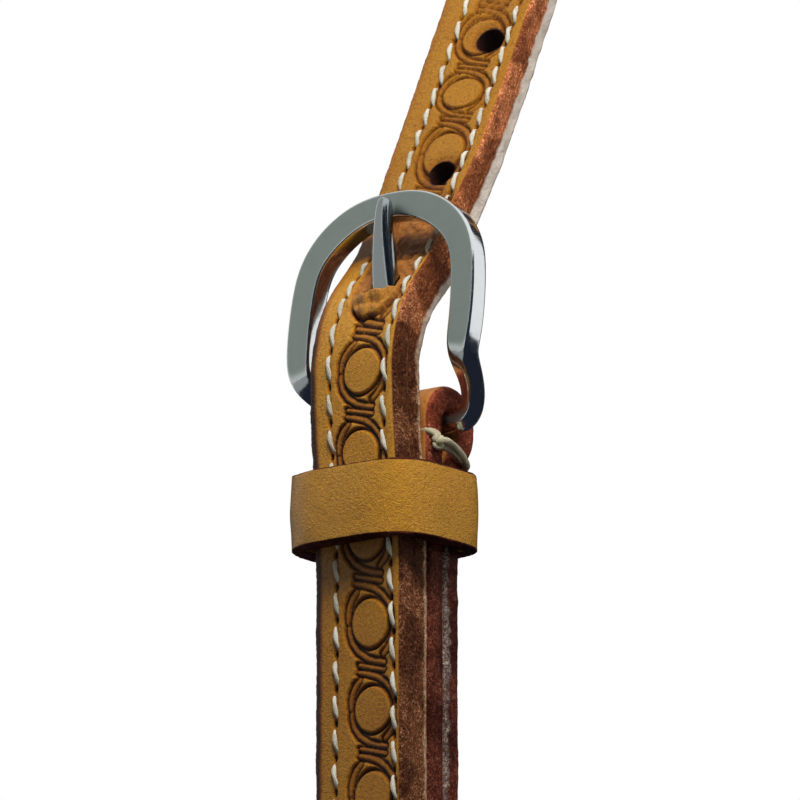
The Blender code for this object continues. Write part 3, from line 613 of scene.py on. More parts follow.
# Places above the heel bar in mm of the hand-set strokes and stitches, each with its count
STROKES = np.array([
    (-55.4, -6), (-49, -5.5), (-43.1, -5), (-37, -4.5), (-30.5, -4), (-23.9, -3.5), (-17.7, -3),
    (-11.6, -2.5), (-5.3, -2), (0.8, -1.5), (6.7, -1), (12.1, -0.5), (18.8, 0), (25.5, 0.5), (33, 1),
    (40, 1.5), (47.3, 2), (53.6, 2.5), (58.4, 3), (63.6, 3.5), (69.3, 4), (75.6, 4.5)])
FRONT_STITCHES = np.array([
    (-51.8, 0), (-26.9, 5), (-2.9, 10), (2.4, 11), (7.8, 12), (12.3, 13), (16.5, 14), (20.1, 15), (42.5, 20),
    (58.3, 24), (75.6, 28)])
REAR_STITCHES = np.array([
    (-49.6, 0), (-24.7, 5), (-4.1, 9), (0.9, 10), (6.1, 11), (10.7, 12), (14.6, 13), (18.8, 14), (41.1, 19),
    (56, 22.6), (73.2, 27)])
# Places above the heel bar, and where the border and the two seams lie across the strap, all in mm
BORDER_ACROSS = np.array([
    (-49, 2.65), (-43, 2.7), (-37, 2.4), (-30.6, 2.2), (-23.9, 1.8), (-5.4, 1.1), (0.8, 1.25), (6.9, 1.9),
    (12.1, 2.3), (18.8, 2.2), (30, 1.8), (47, 1.5), (53.6, 1.3), (58.4, 0.9), (63.6, 1.05), (100, 0.9)])
FRONT_ACROSS = np.array([
    (-50, -3.95), (-27, -3.75), (0, -4.0), (42, -4.2), (58, -3.8), (75, -3.6), (100, -4.2)])
REAR_ACROSS = np.array([
    (-40, 6.7), (-25, 6.05), (-4, 5.7), (1, 5.8), (11, 6.5), (15, 6.8), (30, 6.4), (45, 5.8), (65, 5.65),
    (100, 6.0)])


def counted(knots, above, pitch):
    """Count at a distance above the bar: between the measured places, and evenly beyond them."""
    place, count = knots[:, 0] * MM, knots[:, 1]
    inside = np.interp(above, place, count)
    return inside + np.minimum(above - place[0], 0) / pitch + np.maximum(above - place[-1], 0) / pitch


def lies(knots, above):
    return np.interp(above, knots[:, 0] * MM, knots[:, 1] * MM)


def billet_relief(along, across):
    """Stamp, seams and worn holes of the near half of the crown strap."""
    s = along - TAIL_LENGTH
    down = -counted(STROKES, s, 12.6 * MM) * STAMP_PITCH * MM + 0.10 * MM * wander(s, 9 * MM, 11)
    side = across - lies(BORDER_ACROSS, s) + 0.10 * MM * wander(s, 16 * MM, 12)
    depth = 1 + 0.12 * wander(s, 13 * MM, 13)
    height = stamped(down, side) * depth * ease(STAMP_START - 2 * MM, STAMP_START, s)
    for stitches, lie in ((FRONT_STITCHES, FRONT_ACROSS), (REAR_STITCHES, REAR_ACROSS)):
        height = np.minimum(height, channel(counted(stitches, s, STITCH_PITCH), across - lies(lie, s)))
    for hole in SPARE_HOLES:
        far = np.hypot(s - hole, across - HOLE_SIDE)
        height = height - HOLE_RIM * hump(far - HOLE_RADIUS, HOLE_RIM_WIDTH)
    return torn_lip(s, across, height)


def torn_lip(s, across, height):
    """The disc at the tongue's hole is half torn off and stands up as a lip below the tongue.

    down is the distance below the torn edge, and the leather above it is ridged as far as TORN_END.
    """
    side = (across - LIP_SIDE) / LIP_HALF
    torn_at = LIP_EDGE + 0.25 * MM * wander(across, 0.9 * MM, 71) + 0.5 * MM * (side + side ** 2) - 0.3 * MM
    down = torn_at - s
    share = np.hypot(side, np.maximum(down, 0) / LIP_LENGTH)
    dome = np.sqrt(np.clip(1 - share ** 2, 0, 1)) * (0.55 + 0.45 * ease(1.6 * MM, 0.1 * MM, down))
    folds = rough(s + 0.5 * across, 3 * across, 1.9 * MM, 73) * ease(1.0, 0.6, share)
    flap = LIP_HEIGHT * dome + 0.07 * MM * rough(s, across, 0.7 * MM, 72) + 0.22 * MM * folds
    flap = flap - 0.18 * MM * hump(down - 1.5 * MM - 0.3 * MM * side, 0.3 * MM) * ease(0.95, 0.7, share)
    crease = -CREASE_DEPTH * hump(share - 1.06, 0.10) * (down > -0.3 * MM)
    curl = 0
    for high, at_side, at_down, reach in ((0.55, 4.0, -0.9, 0.35), (0.45, -4.3, 0.6, 0.3)):
        far = np.hypot(across - LIP_SIDE - at_side * MM, down - at_down * MM)
        curl = curl + high * MM * hump(far - reach * MM, 0.4 * MM)
    pit = -TORN_PIT * ease(1.0, 0.75, np.abs(across - TORN_PIT_SIDE) / TORN_PIT_HALF)
    pit = pit * ease(-2.6 * MM, -1.6 * MM, down) * (down < 0)
    above = ease(TORN_END, TORN_END + 4 * MM, down) * (down < -0.4 * MM)
    above = above * ease(TORN_HALF, TORN_HALF - 1 * MM, np.abs(across - LIP_SIDE))
    ridges = 0.35 * rough(s, across, 0.9 * MM, 75)
    ridges = ridges - np.abs(rough(s - 0.9 * across, 0.35 * s + across, 2.6 * MM, 74))
    torn = -0.10 * MM + TORN_RIDGE * (ridges - ease(-6 * MM, -11 * MM, down))
    height = height * (1 - 0.85 * above) + above * torn
    height = np.where(down > -2.6 * MM, np.minimum(height, np.where(pit < -1e-6, pit, 9)), height)
    return np.where((share < 1) & (down > 0), flap, height + crease + curl * (down > -2.2 * MM))


def torn_tone(s, across):
    """Torn and rubbed leather round the tongue's hole is more orange."""
    down = LIP_EDGE - s
    tone = ease(5.4 * MM, 4.2 * MM, np.abs(across - LIP_SIDE)) * ease(-21 * MM, -17 * MM, down)
    return tone * ease(3.6 * MM, 2.6 * MM, down) * (0.50 + 0.25 * ease(1 * MM, -3 * MM, down))


TIP_FLAT = 0.985


def tip_share(along):
    """How much of the width is left at the rounded tip."""
    near = np.clip(1 - along / (STRAP_WIDTH / 2), 0, TIP_FLAT)
    return np.sqrt(1 - near ** 2)


def lining_bare(along, out):
    """A pale line at the lining's rear corner, and a broad pale band where the leather twists."""
    s = above_bar(along)
    wide = 0.25 * ease(2 * MM, 14 * MM, s) + 0.75 * ease(20 * MM, 44 * MM, s)
    wide = wide * (1 - 0.6 * ease(90 * MM, 120 * MM, s))
    limit = -2.3 * MM + 1.45 * MM * wide + 0.22 * MM * wander(along, 1.1 * MM, 15)
    return ease(limit + 0.25 * MM, limit - 0.15 * MM, out)


def painted_light_above_buckle(along, out):
    """Painted light: the edge is paler above the buckle, where the light falls brighter on it."""
    return ease(3 * MM, 30 * MM, above_bar(along))


def crown_burnish(along):
    """The front margin is rubbed dark on the tail and at the bend, and hardly above the buckle."""
    return 1.05 - 0.85 * ease(2 * MM, 26 * MM, above_bar(along))


BILLET_TOP, BILLET_ROUND = LAYER_OFFSET + BILLET_LAYER / 2, 0.9 * MM
LAYER_ROUND, SEWN_GAP = 0.06 * MM, 0.02 * MM
billet_section = band_section(
    SEWN_GAP, BILLET_TOP, fine_columns(BILLET_ROUND, -4.7 * MM, 7.0 * MM, 0.2 * MM, 0.4 * MM), 9, 3,
    BILLET_ROUND, LAYER_ROUND)
lining_section = band_section(
    -BILLET_TOP, -SEWN_GAP, even_columns(0.1 * MM, 9), 10, 20, LAYER_ROUND, 0.4 * MM)
billet_along = steps(
    (0, 31 * MM, 0.4 * MM), (31 * MM, 160 * MM, 0.2 * MM), (160 * MM, BILLET_END, 0.4 * MM))
# On the billet and its lining, the edges get painted light above the buckle.
near_billet = band("near_billet_leather", crown_line, billet_along, billet_section, billet_relief, tip_share,
                   marks={"fade": painted_light_above_buckle}, burnish=crown_burnish)
LINING_LOOK = {"edge_rough": LINING_ROUGH, "seed": 5, "marks": {"bare": lining_bare, "fade": painted_light_above_buckle}}
near_billet_lining = band(
    "near_billet_lining", crown_line, billet_along[::2], lining_section, narrow=tip_share, **LINING_LOOK)
above = np.repeat(billet_along, len(billet_section)) - TAIL_LENGTH
set_attribute(near_billet, "stain", torn_tone(above, np.tile(billet_section[:, 0], len(billet_along))))
# Darker below the keeper and above the buckle, and a painted shadow of the buckle's arch 22 to 38 mm above
# the bar.
set_attribute(near_billet, "oiled", np.clip(
    0.85 * ease(-8 * MM, -22 * MM, above) + 0.90 * ease(16 * MM, 40 * MM, above)
    + between(above, 22 * MM, 28 * MM, 34 * MM, 38 * MM), 0, 1))
print("near billet faces:", len(near_billet.data.polygons), "lining:", len(near_billet_lining.data.polygons))

# %% [markdown]
# The holes are punched right through both layers. The tongue's own hole is drawn out along the
# tongue, which leaves it at a slant.

# %% Punched holes
TONGUE_LOW, TONGUE_HIGH = (4.35 * MM, 0.8 * MM, 6.5 * MM), (8.3 * MM, 0.9 * MM, 27 * MM)
TONGUE_HOLE_RADIUS = 2.6 * MM
BAR_AT = Vector((BUCKLE_OUT, 0, -BUCKLE_DROP))
spare_holes = [crown_line.place(np.full(2, TAIL_LENGTH + hole), np.full(2, HOLE_SIDE),
                                np.array([-BILLET_THICK, BILLET_THICK])) for hole in SPARE_HOLES]


def soften(obj):
    """Above the buckle the stamp is less dark in its depths."""
    paler = 1 - 0.40 * ease(22 * MM, 42 * MM, above_bar(get_attribute(obj, "along")))
    set_attribute(obj, "recess", get_attribute(obj, "recess") * paler)


def paint_hole_shade(obj):
    """Painted shade on the walls inside the punched holes: their points lie on the punch's side."""
    dark, points = get_attribute(obj, "recess"), points_of(obj)
    for start, end in spare_holes:
        axis, far = (end - start) / np.linalg.norm(end - start), points - start
        off = np.linalg.norm(far - (far @ axis)[:, None] * axis, axis=1)
        dark = np.maximum(dark, 1 - ease(HOLE_RADIUS + 0.02 * MM, HOLE_RADIUS + 0.25 * MM, off))
    set_attribute(obj, "recess", dark)


soften(near_billet)
for piece in (near_billet, near_billet_lining):
    for start, end in spare_holes:
        cut(piece, rod_between(start, end, HOLE_RADIUS))
    cut(piece, rod_between(BAR_AT + Vector(TONGUE_LOW), BAR_AT + Vector(TONGUE_HIGH), TONGUE_HOLE_RADIUS))
    paint_hole_shade(piece)

# %% [markdown]
# The rest of the crown runs over the poll with the same stamp. It is less dense, because no picture
# comes that near to it.

# %% Crown over the poll
def crown_relief(along, across):
    """The near relief up to the poll's middle, and its mirror image beyond."""
    return billet_relief(np.minimum(along, CROWN_LENGTH - along), across)


crown_along = steps((BILLET_END, CROWN_LENGTH - BILLET_END, 0.42 * MM))
crown_section = band_section(
    SEWN_GAP, BILLET_TOP, fine_columns(BILLET_ROUND, -4.7 * MM, 6.8 * MM, 0.28 * MM, 0.5 * MM), 6, 3,
    BILLET_ROUND, LAYER_ROUND)
# The crown's edges get the same painted light above the buckle.
crown_leather = band("crown_leather", crown_line, crown_along, crown_section, crown_relief,
                     marks={"fade": painted_light_above_buckle}, burnish=crown_burnish)
crown_lining = band("crown_lining_leather", crown_line, crown_along[::2], lining_section, **LINING_LOOK)
soften(crown_leather)
# The crown over the poll is as dark as the strap above the buckle.
set_attribute(crown_leather, "oiled", np.full(len(crown_leather.data.vertices), 0.90))
print("crown faces:", len(crown_leather.data.polygons))

# %% [markdown]
# Each stitch is a short twisted bead that rises from one slit and dives into the next. There are
# hundreds of them, so a stitch has only a few dozen faces.

# %% Thread
STITCH_LENGTH = 3.9 * MM
THREAD_RADIUS = 0.37 * MM
STITCH_SLANT = -0.36 * MM
STITCH_SIDES, STITCH_RINGS = 8, 8
STITCH_SUNK, STITCH_ARCH, STITCH_STRAY, FLATNESS = -0.62, 0.78, 0.06 * MM, 0.85
PLY_DEPTH, PLY_TURN, FIBRE_TURN = 0.20, 5.5, 1.4
SEAM_OUT = 6.0 * MM


def tube_faces(base, rings, sides, closed=False):
    """Faces of a tube of rings: its ends are capped, or joined if it is closed."""
    faces = []
    for k in range(rings if closed else rings - 1):
        a, b = base + k * sides, base + (k + 1) % rings * sides
        faces += [(a + m, a + (m + 1) % sides, b + (m + 1) % sides, b + m) for m in range(sides)]
    if not closed:
        faces.append(tuple(base + m for m in range(sides))[::-1])
        faces.append(tuple(base + (rings - 1) * sides + m for m in range(sides)))
    return faces


def thread_seam(name, line, seam, out):
    """Stitches with their middles at (along, across, heading) places on a band's face."""
    rings, sides = np.linspace(0, 1, STITCH_RINGS), np.arange(STITCH_SIDES)
    points, faces, fibre = [], [], []
    for index, (along, across, heading) in enumerate(seam):
        far = (rings - 0.5) * STITCH_LENGTH
        slant = (rings - 0.5) * 2 * STITCH_SLANT + STITCH_STRAY * wander(index, 1, 31)
        u = along + far * math.cos(heading) - slant * math.sin(heading)
        v = across + far * math.sin(heading) + slant * math.cos(heading)
        arch = np.sin(np.pi * rings) ** 0.55
        rise = out + (STITCH_SUNK + STITCH_ARCH * arch) * MM
        middle = line.place(u, v, rise)
        ahead = np.gradient(middle, axis=0)
        ahead /= np.linalg.norm(ahead, axis=1)[:, None]
        up = line.place(u, v, rise + MM) - middle
        up = up / np.linalg.norm(up, axis=1)[:, None]
        side = np.cross(ahead, up)
        up = np.cross(side, ahead)
        base = len(points)
        angle = 2 * np.pi * sides / STITCH_SIDES
        for k in range(STITCH_RINGS):
            ply = 1 + PLY_DEPTH * np.cos(2 * (angle - PLY_TURN * rings[k] - index))
            size = THREAD_RADIUS * ply * (0.55 + 0.45 * arch[k])
            wide, high = np.cos(angle) * size, np.sin(angle) * size * FLATNESS
            points.extend(middle[k] + side[k] * wide[:, None] + up[k] * high[:, None])
            fibre.extend(angle / (2 * np.pi) + rings[k] * FIBRE_TURN)
        faces += tube_faces(base, STITCH_RINGS, STITCH_SIDES)
    obj = outward(make_object(name, np.array(points), faces))
    set_attribute(obj, "fibre", fibre)
    return obj


def side_seams(start, end, first):
    """Both seams of a plain strap between two distances, in step with the first stitch."""
    low, high = math.ceil((start - first) / STITCH_PITCH), math.floor((end - first) / STITCH_PITCH)
    return [(first + k * STITCH_PITCH, across, 0.0)
            for across in (-SEAM_OUT, SEAM_OUT) for k in range(low, high + 1)]


def tip_seam(middle, radius, centre_across):
    """Stitches round a rounded tip, whose middle is at a distance along."""
    count = round(math.pi * radius / STITCH_PITCH)
    rows = []
    for k in range(count):
        angle = math.pi * (k + 0.5) / count
        rows.append((middle - radius * math.sin(angle), centre_across + radius * math.cos(angle),
                     math.pi / 2 - angle + math.pi))
    return rows


def billet_rows(start, end):
    """Stitches of both seams of the near half, between two distances above the heel bar."""
    rows = []
    for stitches, lie in ((FRONT_STITCHES, FRONT_ACROSS), (REAR_STITCHES, REAR_ACROSS)):
        first, last = (counted(stitches, np.array(end_at), STITCH_PITCH) for end_at in (start, end))
        dense = np.arange(start, end, 0.1 * MM)
        counts = counted(stitches, dense, STITCH_PITCH)
        for count in range(math.ceil(first), math.floor(last) + 1):
            above = float(np.interp(count, counts, dense))
            rows.append((TAIL_LENGTH + above, float(lies(lie, above)), 0.0))
    return rows


TIP_MIDDLE = 8.5 * MM
near_seam = billet_rows(TIP_MIDDLE - TAIL_LENGTH, BILLET_END - TAIL_LENGTH)
near_seam += tip_seam(TIP_MIDDLE, 5.3 * MM, 1.35 * MM)
crown_seam = billet_rows(BILLET_END - TAIL_LENGTH + 0.1 * MM, CROWN_LENGTH / 2 - TAIL_LENGTH)
crown_seam += [(CROWN_LENGTH - along, across, 0.0) for along, across, _ in crown_seam]
near_thread = thread_seam("near_billet_thread", crown_line, near_seam, BILLET_TOP)
crown_thread = thread_seam("crown_thread", crown_line, crown_seam, BILLET_TOP)
print("stitches:", len(near_seam), "on a billet,", len(crown_seam), "over the poll")

# %% [markdown]
# The buckle's solids already have the right outline. A copy with its loose triangles merged into
# quads becomes a smooth casting under subdivision, with a crease that keeps the face flat.

# %% Buckle and tongue
def smooth_copy(node, name, crease_angle, crease, levels):
    """A merged and subdivided copy of a solid."""
    source = frame["nodes"][node]
    obj = source.copy()
    obj.data = source.data.copy()
    for key in list(obj.keys()):
        del obj[key]
    obj.parent = None
    obj.name = name
    bpy.context.scene.collection.objects.link(obj)
    activate(obj)
    bpy.ops.object.mode_set(mode='EDIT')
    bpy.ops.mesh.select_all(action='SELECT')
    bpy.ops.mesh.remove_doubles(threshold=0.01 * MM)
    bpy.ops.mesh.tris_convert_to_quads(face_threshold=math.radians(60), shape_threshold=math.radians(60))
    bpy.ops.object.mode_set(mode='OBJECT')
    shape = bmesh.new()
    shape.from_mesh(obj.data)
    layer = shape.edges.layers.float.get("crease_edge") or shape.edges.layers.float.new("crease_edge")
    for edge in shape.edges:
        if len(edge.link_faces) == 2 and edge.calc_face_angle() > math.radians(crease_angle):
            edge[layer] = crease
    shape.to_mesh(obj.data)
    shape.free()
    apply_modifier(obj, 'SUBSURF', levels=levels, render_levels=levels)
    obj.data.shade_smooth()
    return obj


near_frame = smooth_copy("near_buckle_frame", "near_buckle_casting", 35, 0.35, 3)
near_tongue = smooth_copy("near_buckle_tongue", "near_buckle_prong", 80, 0.3, 2)
# A used tongue leans a little to one side, is thickest halfway and drawn thin at its tip
TONGUE_LEAN, TIP_WEAR, TIP_LENGTH = 1.1 * MM, 1.5 * MM, 8 * MM
points = points_of(near_tongue)
above = points[:, 2] + BUCKLE_DROP
middle = (points[:, 1].max() + points[:, 1].min()) / 2
thick = 1 + 0.16 * ease(8 * MM, 16 * MM, above) - 0.38 * ease(19 * MM, 33 * MM, above)
points[:, 1] = middle + (points[:, 1] - middle) * thick + TONGUE_LEAN * ease(1.5 * MM, 9 * MM, above)
points[:, 2] -= TIP_WEAR * ease(above.max() - TIP_LENGTH, above.max(), above)
move_points(near_tongue, points)

FRAME_TILT = math.radians(7.0)
SATIN_START, SATIN_FULL = 0.93, 0.995
forward = Vector((math.cos(FRAME_TILT), 0.0, math.sin(FRAME_TILT)))
flat = np.array([max(0.0, v.normal.dot(forward)) for v in near_frame.data.vertices])
set_attribute(near_frame, "satin", ease(SATIN_START, SATIN_FULL, flat))
print("buckle faces:", len(near_frame.data.polygons), "tongue:", len(near_tongue.data.polygons))

# %% [markdown]
# The cheek strap is a thick plain band. It comes up behind, folds over the heel bar and goes down in
# front to the loop that holds the bit, where it turns back again.

# %% Cheek strap
TOP_TURNBACK = 60 * MM
CHEEK_BAR_RUN, CHEEK_PINCH = 0.6 * MM, 7.5 * MM
BIT_LOOP_DROP, BIT_LOOP_RADIUS, BIT_LOOP_TURN = 214 * MM, 7 * MM, 55.0
BIT_TURNBACK_TOP = 150 * MM


def cheek_moves():
    """Moves from the end of the top turnback to the end of the bottom one."""
    middle = BIT_LOOP_RADIUS + CHEEK_LAYER / 2
    bend = math.radians(BIT_LOOP_TURN)
    into = (middle * math.cos(bend) - PINCHED) / (1 - math.cos(bend))
    loop_top = (into + middle) * math.sin(bend)
    moves = [("run", TOP_TURNBACK - CHEEK_BAR_RUN - CHEEK_PINCH)]
    moves += sideways(FOLD_MIDDLE + TURNBACK_MIDDLE, CHEEK_PINCH)
    moves += [
        ("run", CHEEK_BAR_RUN), ("arc", FOLD_MIDDLE, -180.0), ("run", BIT_LOOP_DROP - loop_top),
        ("arc", into, BIT_LOOP_TURN), ("arc", middle, -180.0 - 2 * BIT_LOOP_TURN),
        ("arc", into, BIT_LOOP_TURN),
        ("run", BIT_LOOP_DROP - loop_top - BIT_TURNBACK_TOP),
    ]
    return moves


cheek_line = Line(
    (BUCKLE_OUT + TURNBACK_MIDDLE, -BUCKLE_DROP - TOP_TURNBACK), 90.0, cheek_moves(), side=-1)
FOLD_ALONG = TOP_TURNBACK + math.pi * FOLD_MIDDLE
CHEEK_TOP = CHEEK_LAYER / 2
CHEEK_STAMP, CHEEK_SEAMS = (97 * MM, 150 * MM), (13 * MM, 196 * MM)
print("cheek strap, end to end:", round(cheek_line.length, 3), "m")


def two_channels(along, across):
    """Both seams of a plain strap, with the stitches counted from 0."""
    count = along / STITCH_PITCH
    return np.minimum(channel(count, across - SEAM_OUT), channel(count, across + SEAM_OUT))


def cheek_relief(along, across):
    """Stamp below the billet's tip and seams down the front."""
    s = along - FOLD_ALONG
    (top, low), (first, last) = CHEEK_STAMP, CHEEK_SEAMS
    height = stamped(top - s + 0.1 * MM * wander(s, 9 * MM, 51), across)
    height = height * between(s, top - 4 * MM, top, low, low + 4 * MM)
    seams = two_channels(s, across) * between(s, first - 3 * MM, first, last, last + 2 * MM)
    return np.minimum(height, seams)


def cheek_painted_highlight(along, out):
    """A painted highlight: a pale grey ridge down the turnback's inner corner, where the rounded corner
    catches the light.
    """
    height = out + 0.35 * MM * wander(along, 0.9 * MM, 23) + 0.3 * MM * wander(along, 6 * MM, 24)
    ridge = ease(-0.5 * MM, -1.1 * MM, height) * (along < TOP_TURNBACK - 14 * MM)
    return ridge * (0.6 + 0.3 * wander(along, 3 * MM, 25))


def cheek_paler_at_fold(along, out):
    """The edge is paler round the fold."""
    return 0.75 * ease(17 * MM, 6 * MM, np.abs(along - FOLD_ALONG + 6 * MM))


cheek_section = band_section(
    -CHEEK_TOP, CHEEK_TOP, fine_columns(0.9 * MM, -6.6 * MM, 6.6 * MM, 0.3 * MM, 0.4 * MM), 10, 10,
    0.9 * MM, 0.5 * MM)
# On the cheek's edge the pale band is a painted highlight on the turnback's corner.
near_cheek = band(
    "near_cheek_leather", cheek_line, np.arange(0, cheek_line.length, 0.45 * MM), cheek_section, cheek_relief,
    seed=21, marks={"bare": cheek_painted_highlight, "fade": cheek_paler_at_fold})
below_fold = get_attribute(near_cheek, "along") - FOLD_ALONG
set_attribute(near_cheek, "stain", ease(22 * MM, 3 * MM, below_fold))

# %% [markdown]
# The tongue's eye turns in a slot in the fold, and two screw posts go through the strap above the
# bit loop. Both are cut as punches would cut them.

# %% Slot and screw holes
SLOT_HALF, SLOT_SIDE, SLOT_LOW = 2.5 * MM, -0.2 * MM, -4.2 * MM
SCREW_DROPS = {"upper": 165 * MM, "lower": 187 * MM}
SCREW_BORE, BORE_REACH = 2.65 * MM, 9 * MM


def box_between(low, high, bevel=0.0):
    """A box from one corner to the other, with rounded edges if a bevel is given."""
    bpy.ops.object.select_all(action='DESELECT')
    bpy.ops.mesh.primitive_cube_add(size=1)
    box = bpy.context.object
    low, high = Vector(low), Vector(high)
    box.data.transform(Matrix.Translation((low + high) / 2) @ Matrix.Diagonal((*(high - low), 1.0)))
    if bevel:
        bpy.ops.object.mode_set(mode='EDIT')
        bpy.ops.mesh.select_all(action='SELECT')
        bpy.ops.mesh.bevel(offset=bevel, segments=4, affect='EDGES')
        bpy.ops.object.mode_set(mode='OBJECT')
    return box


slot_low = BAR_AT + Vector((-BORE_REACH, SLOT_SIDE - SLOT_HALF, SLOT_LOW))
slot_high = BAR_AT + Vector((BORE_REACH, SLOT_SIDE + SLOT_HALF, 12 * MM))
cut(near_cheek, box_between(slot_low, slot_high, 1.2 * MM))
for drop in SCREW_DROPS.values():
    centre = BAR_AT + Vector((CHEEK_MIDDLE, 0, -drop))
    reach = Vector((BORE_REACH, 0, 0))
    cut(near_cheek, rod_between(centre - reach, centre + reach, SCREW_BORE))
print("cheek faces:", len(near_cheek.data.polygons))

# %% [markdown]
# Between its two turnbacks the cheek strap has an inner layer of plain leather, so that it is
# equally thick all the way down.

# %% Inner layer of the cheek strap
lining_length = BIT_TURNBACK_TOP - TOP_TURNBACK - 2 * SEAT_GAP
cheek_lining_line = Line(
    (BUCKLE_OUT + TURNBACK_MIDDLE, -BUCKLE_DROP - TOP_TURNBACK - SEAT_GAP), -90.0, [("run", lining_length)])
cheek_lining_section = band_section(
    -CHEEK_TOP, CHEEK_TOP, even_columns(0.5 * MM, 30), 9, 8, 0.5 * MM, 0.3 * MM)
near_cheek_lining = band(
    "near_cheek_inner_layer", cheek_lining_line, np.arange(0, lining_length, 0.5 * MM), cheek_lining_section,
    two_channels, edge_rough=LINING_ROUGH, seed=25)
cheek_seam = side_seams(*(FOLD_ALONG + end for end in CHEEK_SEAMS), FOLD_ALONG)
near_cheek_thread = thread_seam("near_cheek_thread", cheek_line, cheek_seam, CHEEK_TOP)
inner_rows = side_seams(STITCH_PITCH / 2, lining_length - STITCH_PITCH / 2, 0)
near_inner_thread = thread_seam("near_cheek_inner_thread", cheek_lining_line, inner_rows, CHEEK_TOP)
print("stitches on a cheek strap:", len(cheek_seam))

# %% [markdown]
# The keeper is a plain leather band. It starts as a box with open ends, gets round corners and
# a thickness, and then swells a little, as wet leather does when it is set round a strap.

# %% Keeper
KEEPER_HEIGHT, KEEPER_THICK, KEEPER_DROP = 11.1 * MM, 1.9 * MM, 13.05 * MM
KEEPER_CORNER, KEEPER_SWELL = 0.9 * MM, 0.25 * MM
KEEPER_BULGE, KEEPER_CURVE = 1.45 * MM, 3.3
KEEPER_ROOM, KEEPER_SIDE_ROOM = 0.5 * MM, 0.2 * MM
keeper_back = BUCKLE_OUT + TURNBACK_MIDDLE - CHEEK_LAYER / 2 - SEAT_GAP - KEEPER_ROOM
keeper_front = BUCKLE_OUT + BILLET_BACK + BILLET_THICK + SEAT_GAP
keeper_side = STRAP_WIDTH / 2 + SEAT_GAP + KEEPER_SIDE_ROOM
keeper_middle = -BUCKLE_DROP - KEEPER_DROP
near_keeper = box_between(
    (keeper_back, -keeper_side - BILLET_SIDE_SHIFT, keeper_middle - KEEPER_HEIGHT / 2),
    (keeper_front, keeper_side, keeper_middle + KEEPER_HEIGHT / 2))
near_keeper.name = "near_keeper_band"
UPRIGHT, ANY_WAY = Vector((0, 0, 1)), Vector((1, 1, 1))
shape = bmesh.new()
shape.from_mesh(near_keeper.data)


def keeper_edges(low, way):
    """Edges longer than a length, measured along some axes."""
    return [e for e in shape.edges if ((e.verts[0].co - e.verts[1].co) * way).length > low]


bmesh.ops.delete(shape, geom=[f for f in shape.faces if abs(f.normal.z) > 0.5], context='FACES')
bmesh.ops.bevel(shape, geom=keeper_edges(MM, UPRIGHT), offset=KEEPER_CORNER, segments=6, affect='EDGES',
                profile=0.5)
bmesh.ops.subdivide_edges(shape, edges=keeper_edges(MM, UPRIGHT), cuts=7, use_grid_fill=True)
bmesh.ops.subdivide_edges(shape, edges=keeper_edges(3 * MM, ANY_WAY), cuts=13, use_grid_fill=True)
bmesh.ops.recalc_face_normals(shape, faces=shape.faces)
shape.to_mesh(near_keeper.data)
shape.free()
apply_modifier(near_keeper, 'SOLIDIFY', thickness=KEEPER_THICK, offset=1.0, use_even_offset=True)
apply_modifier(near_keeper, 'BEVEL', width=0.55 * MM, segments=3, limit_method='ANGLE',
               angle_limit=math.radians(50))
apply_modifier(near_keeper, 'SUBSURF', levels=2, render_levels=2)
points = points_of(near_keeper)
core = np.array([(keeper_back + keeper_front) / 2, -BILLET_SIDE_SHIFT / 2])
reach = np.array([(keeper_front - keeper_back) / 2, STRAP_WIDTH / 2 + BILLET_SIDE_SHIFT / 2 + SEAT_GAP])
flat = points[:, :2] - core
level = np.clip(np.abs(points[:, 2] - keeper_middle) / (KEEPER_HEIGHT / 2), 0, 1)
beyond = np.abs(flat) - reach + KEEPER_CORNER
depth = np.linalg.norm(np.maximum(beyond, 0), axis=1) + np.minimum(beyond.max(axis=1), 0) - KEEPER_CORNER
outer = ease(KEEPER_THICK * 0.5, KEEPER_THICK, depth)
beside = np.abs(flat) / (reach + KEEPER_THICK + KEEPER_BULGE)
rounded = 1 / np.maximum((beside ** KEEPER_CURVE).sum(axis=1), 1e-9) ** (1 / KEEPER_CURVE)
points[:, :2] = core + flat * (1 + (rounded - 1) * outer)[:, None]
round_way = points[:, 1] + points[:, 0]
swell = outer * (KEEPER_SWELL * (1 - level ** 2) + 0.09 * MM * rough(round_way, points[:, 2], 3.1 * MM, 41))
swell = swell + 0.05 * MM * ease(0.86, 0.97, level) * rough(round_way, depth, 0.5 * MM, 42)
points += np.array([v.normal for v in near_keeper.data.vertices]) * swell[:, None]
move_points(near_keeper, points)
near_keeper.data.shade_smooth()
set_attribute(near_keeper, "cut_edge", ease(0.90, 0.985, level))
print("keeper faces:", len(near_keeper.data.polygons))

# %% [markdown]
# A waxed cord ties the turnback to the front layer. It goes through both near one edge, round that
# edge and back, and is knotted outside.

# %% Lace
LACE_RADIUS = 0.62 * MM


def smooth_line(corners, count, closed):
    """Points on a soft line through corners."""
    size = len(corners)
    share = np.linspace(0, size if closed else size - 1, count, endpoint=not closed)
    index = np.floor(share).astype(int)
    if not closed:
        index = np.minimum(index, size - 2)
    t = (share - index)[:, None]

    def pick(k):
        return corners[k % size] if closed else corners[np.clip(k, 0, size - 1)]

    a, b, c, d = pick(index - 1), pick(index), pick(index + 1), pick(index + 2)
    square, cube = 2 * a - 5 * b + 4 * c - d, 3 * b - a - 3 * c + d
    return 0.5 * (2 * b + (c - a) * t + square * t ** 2 + cube * t ** 3)


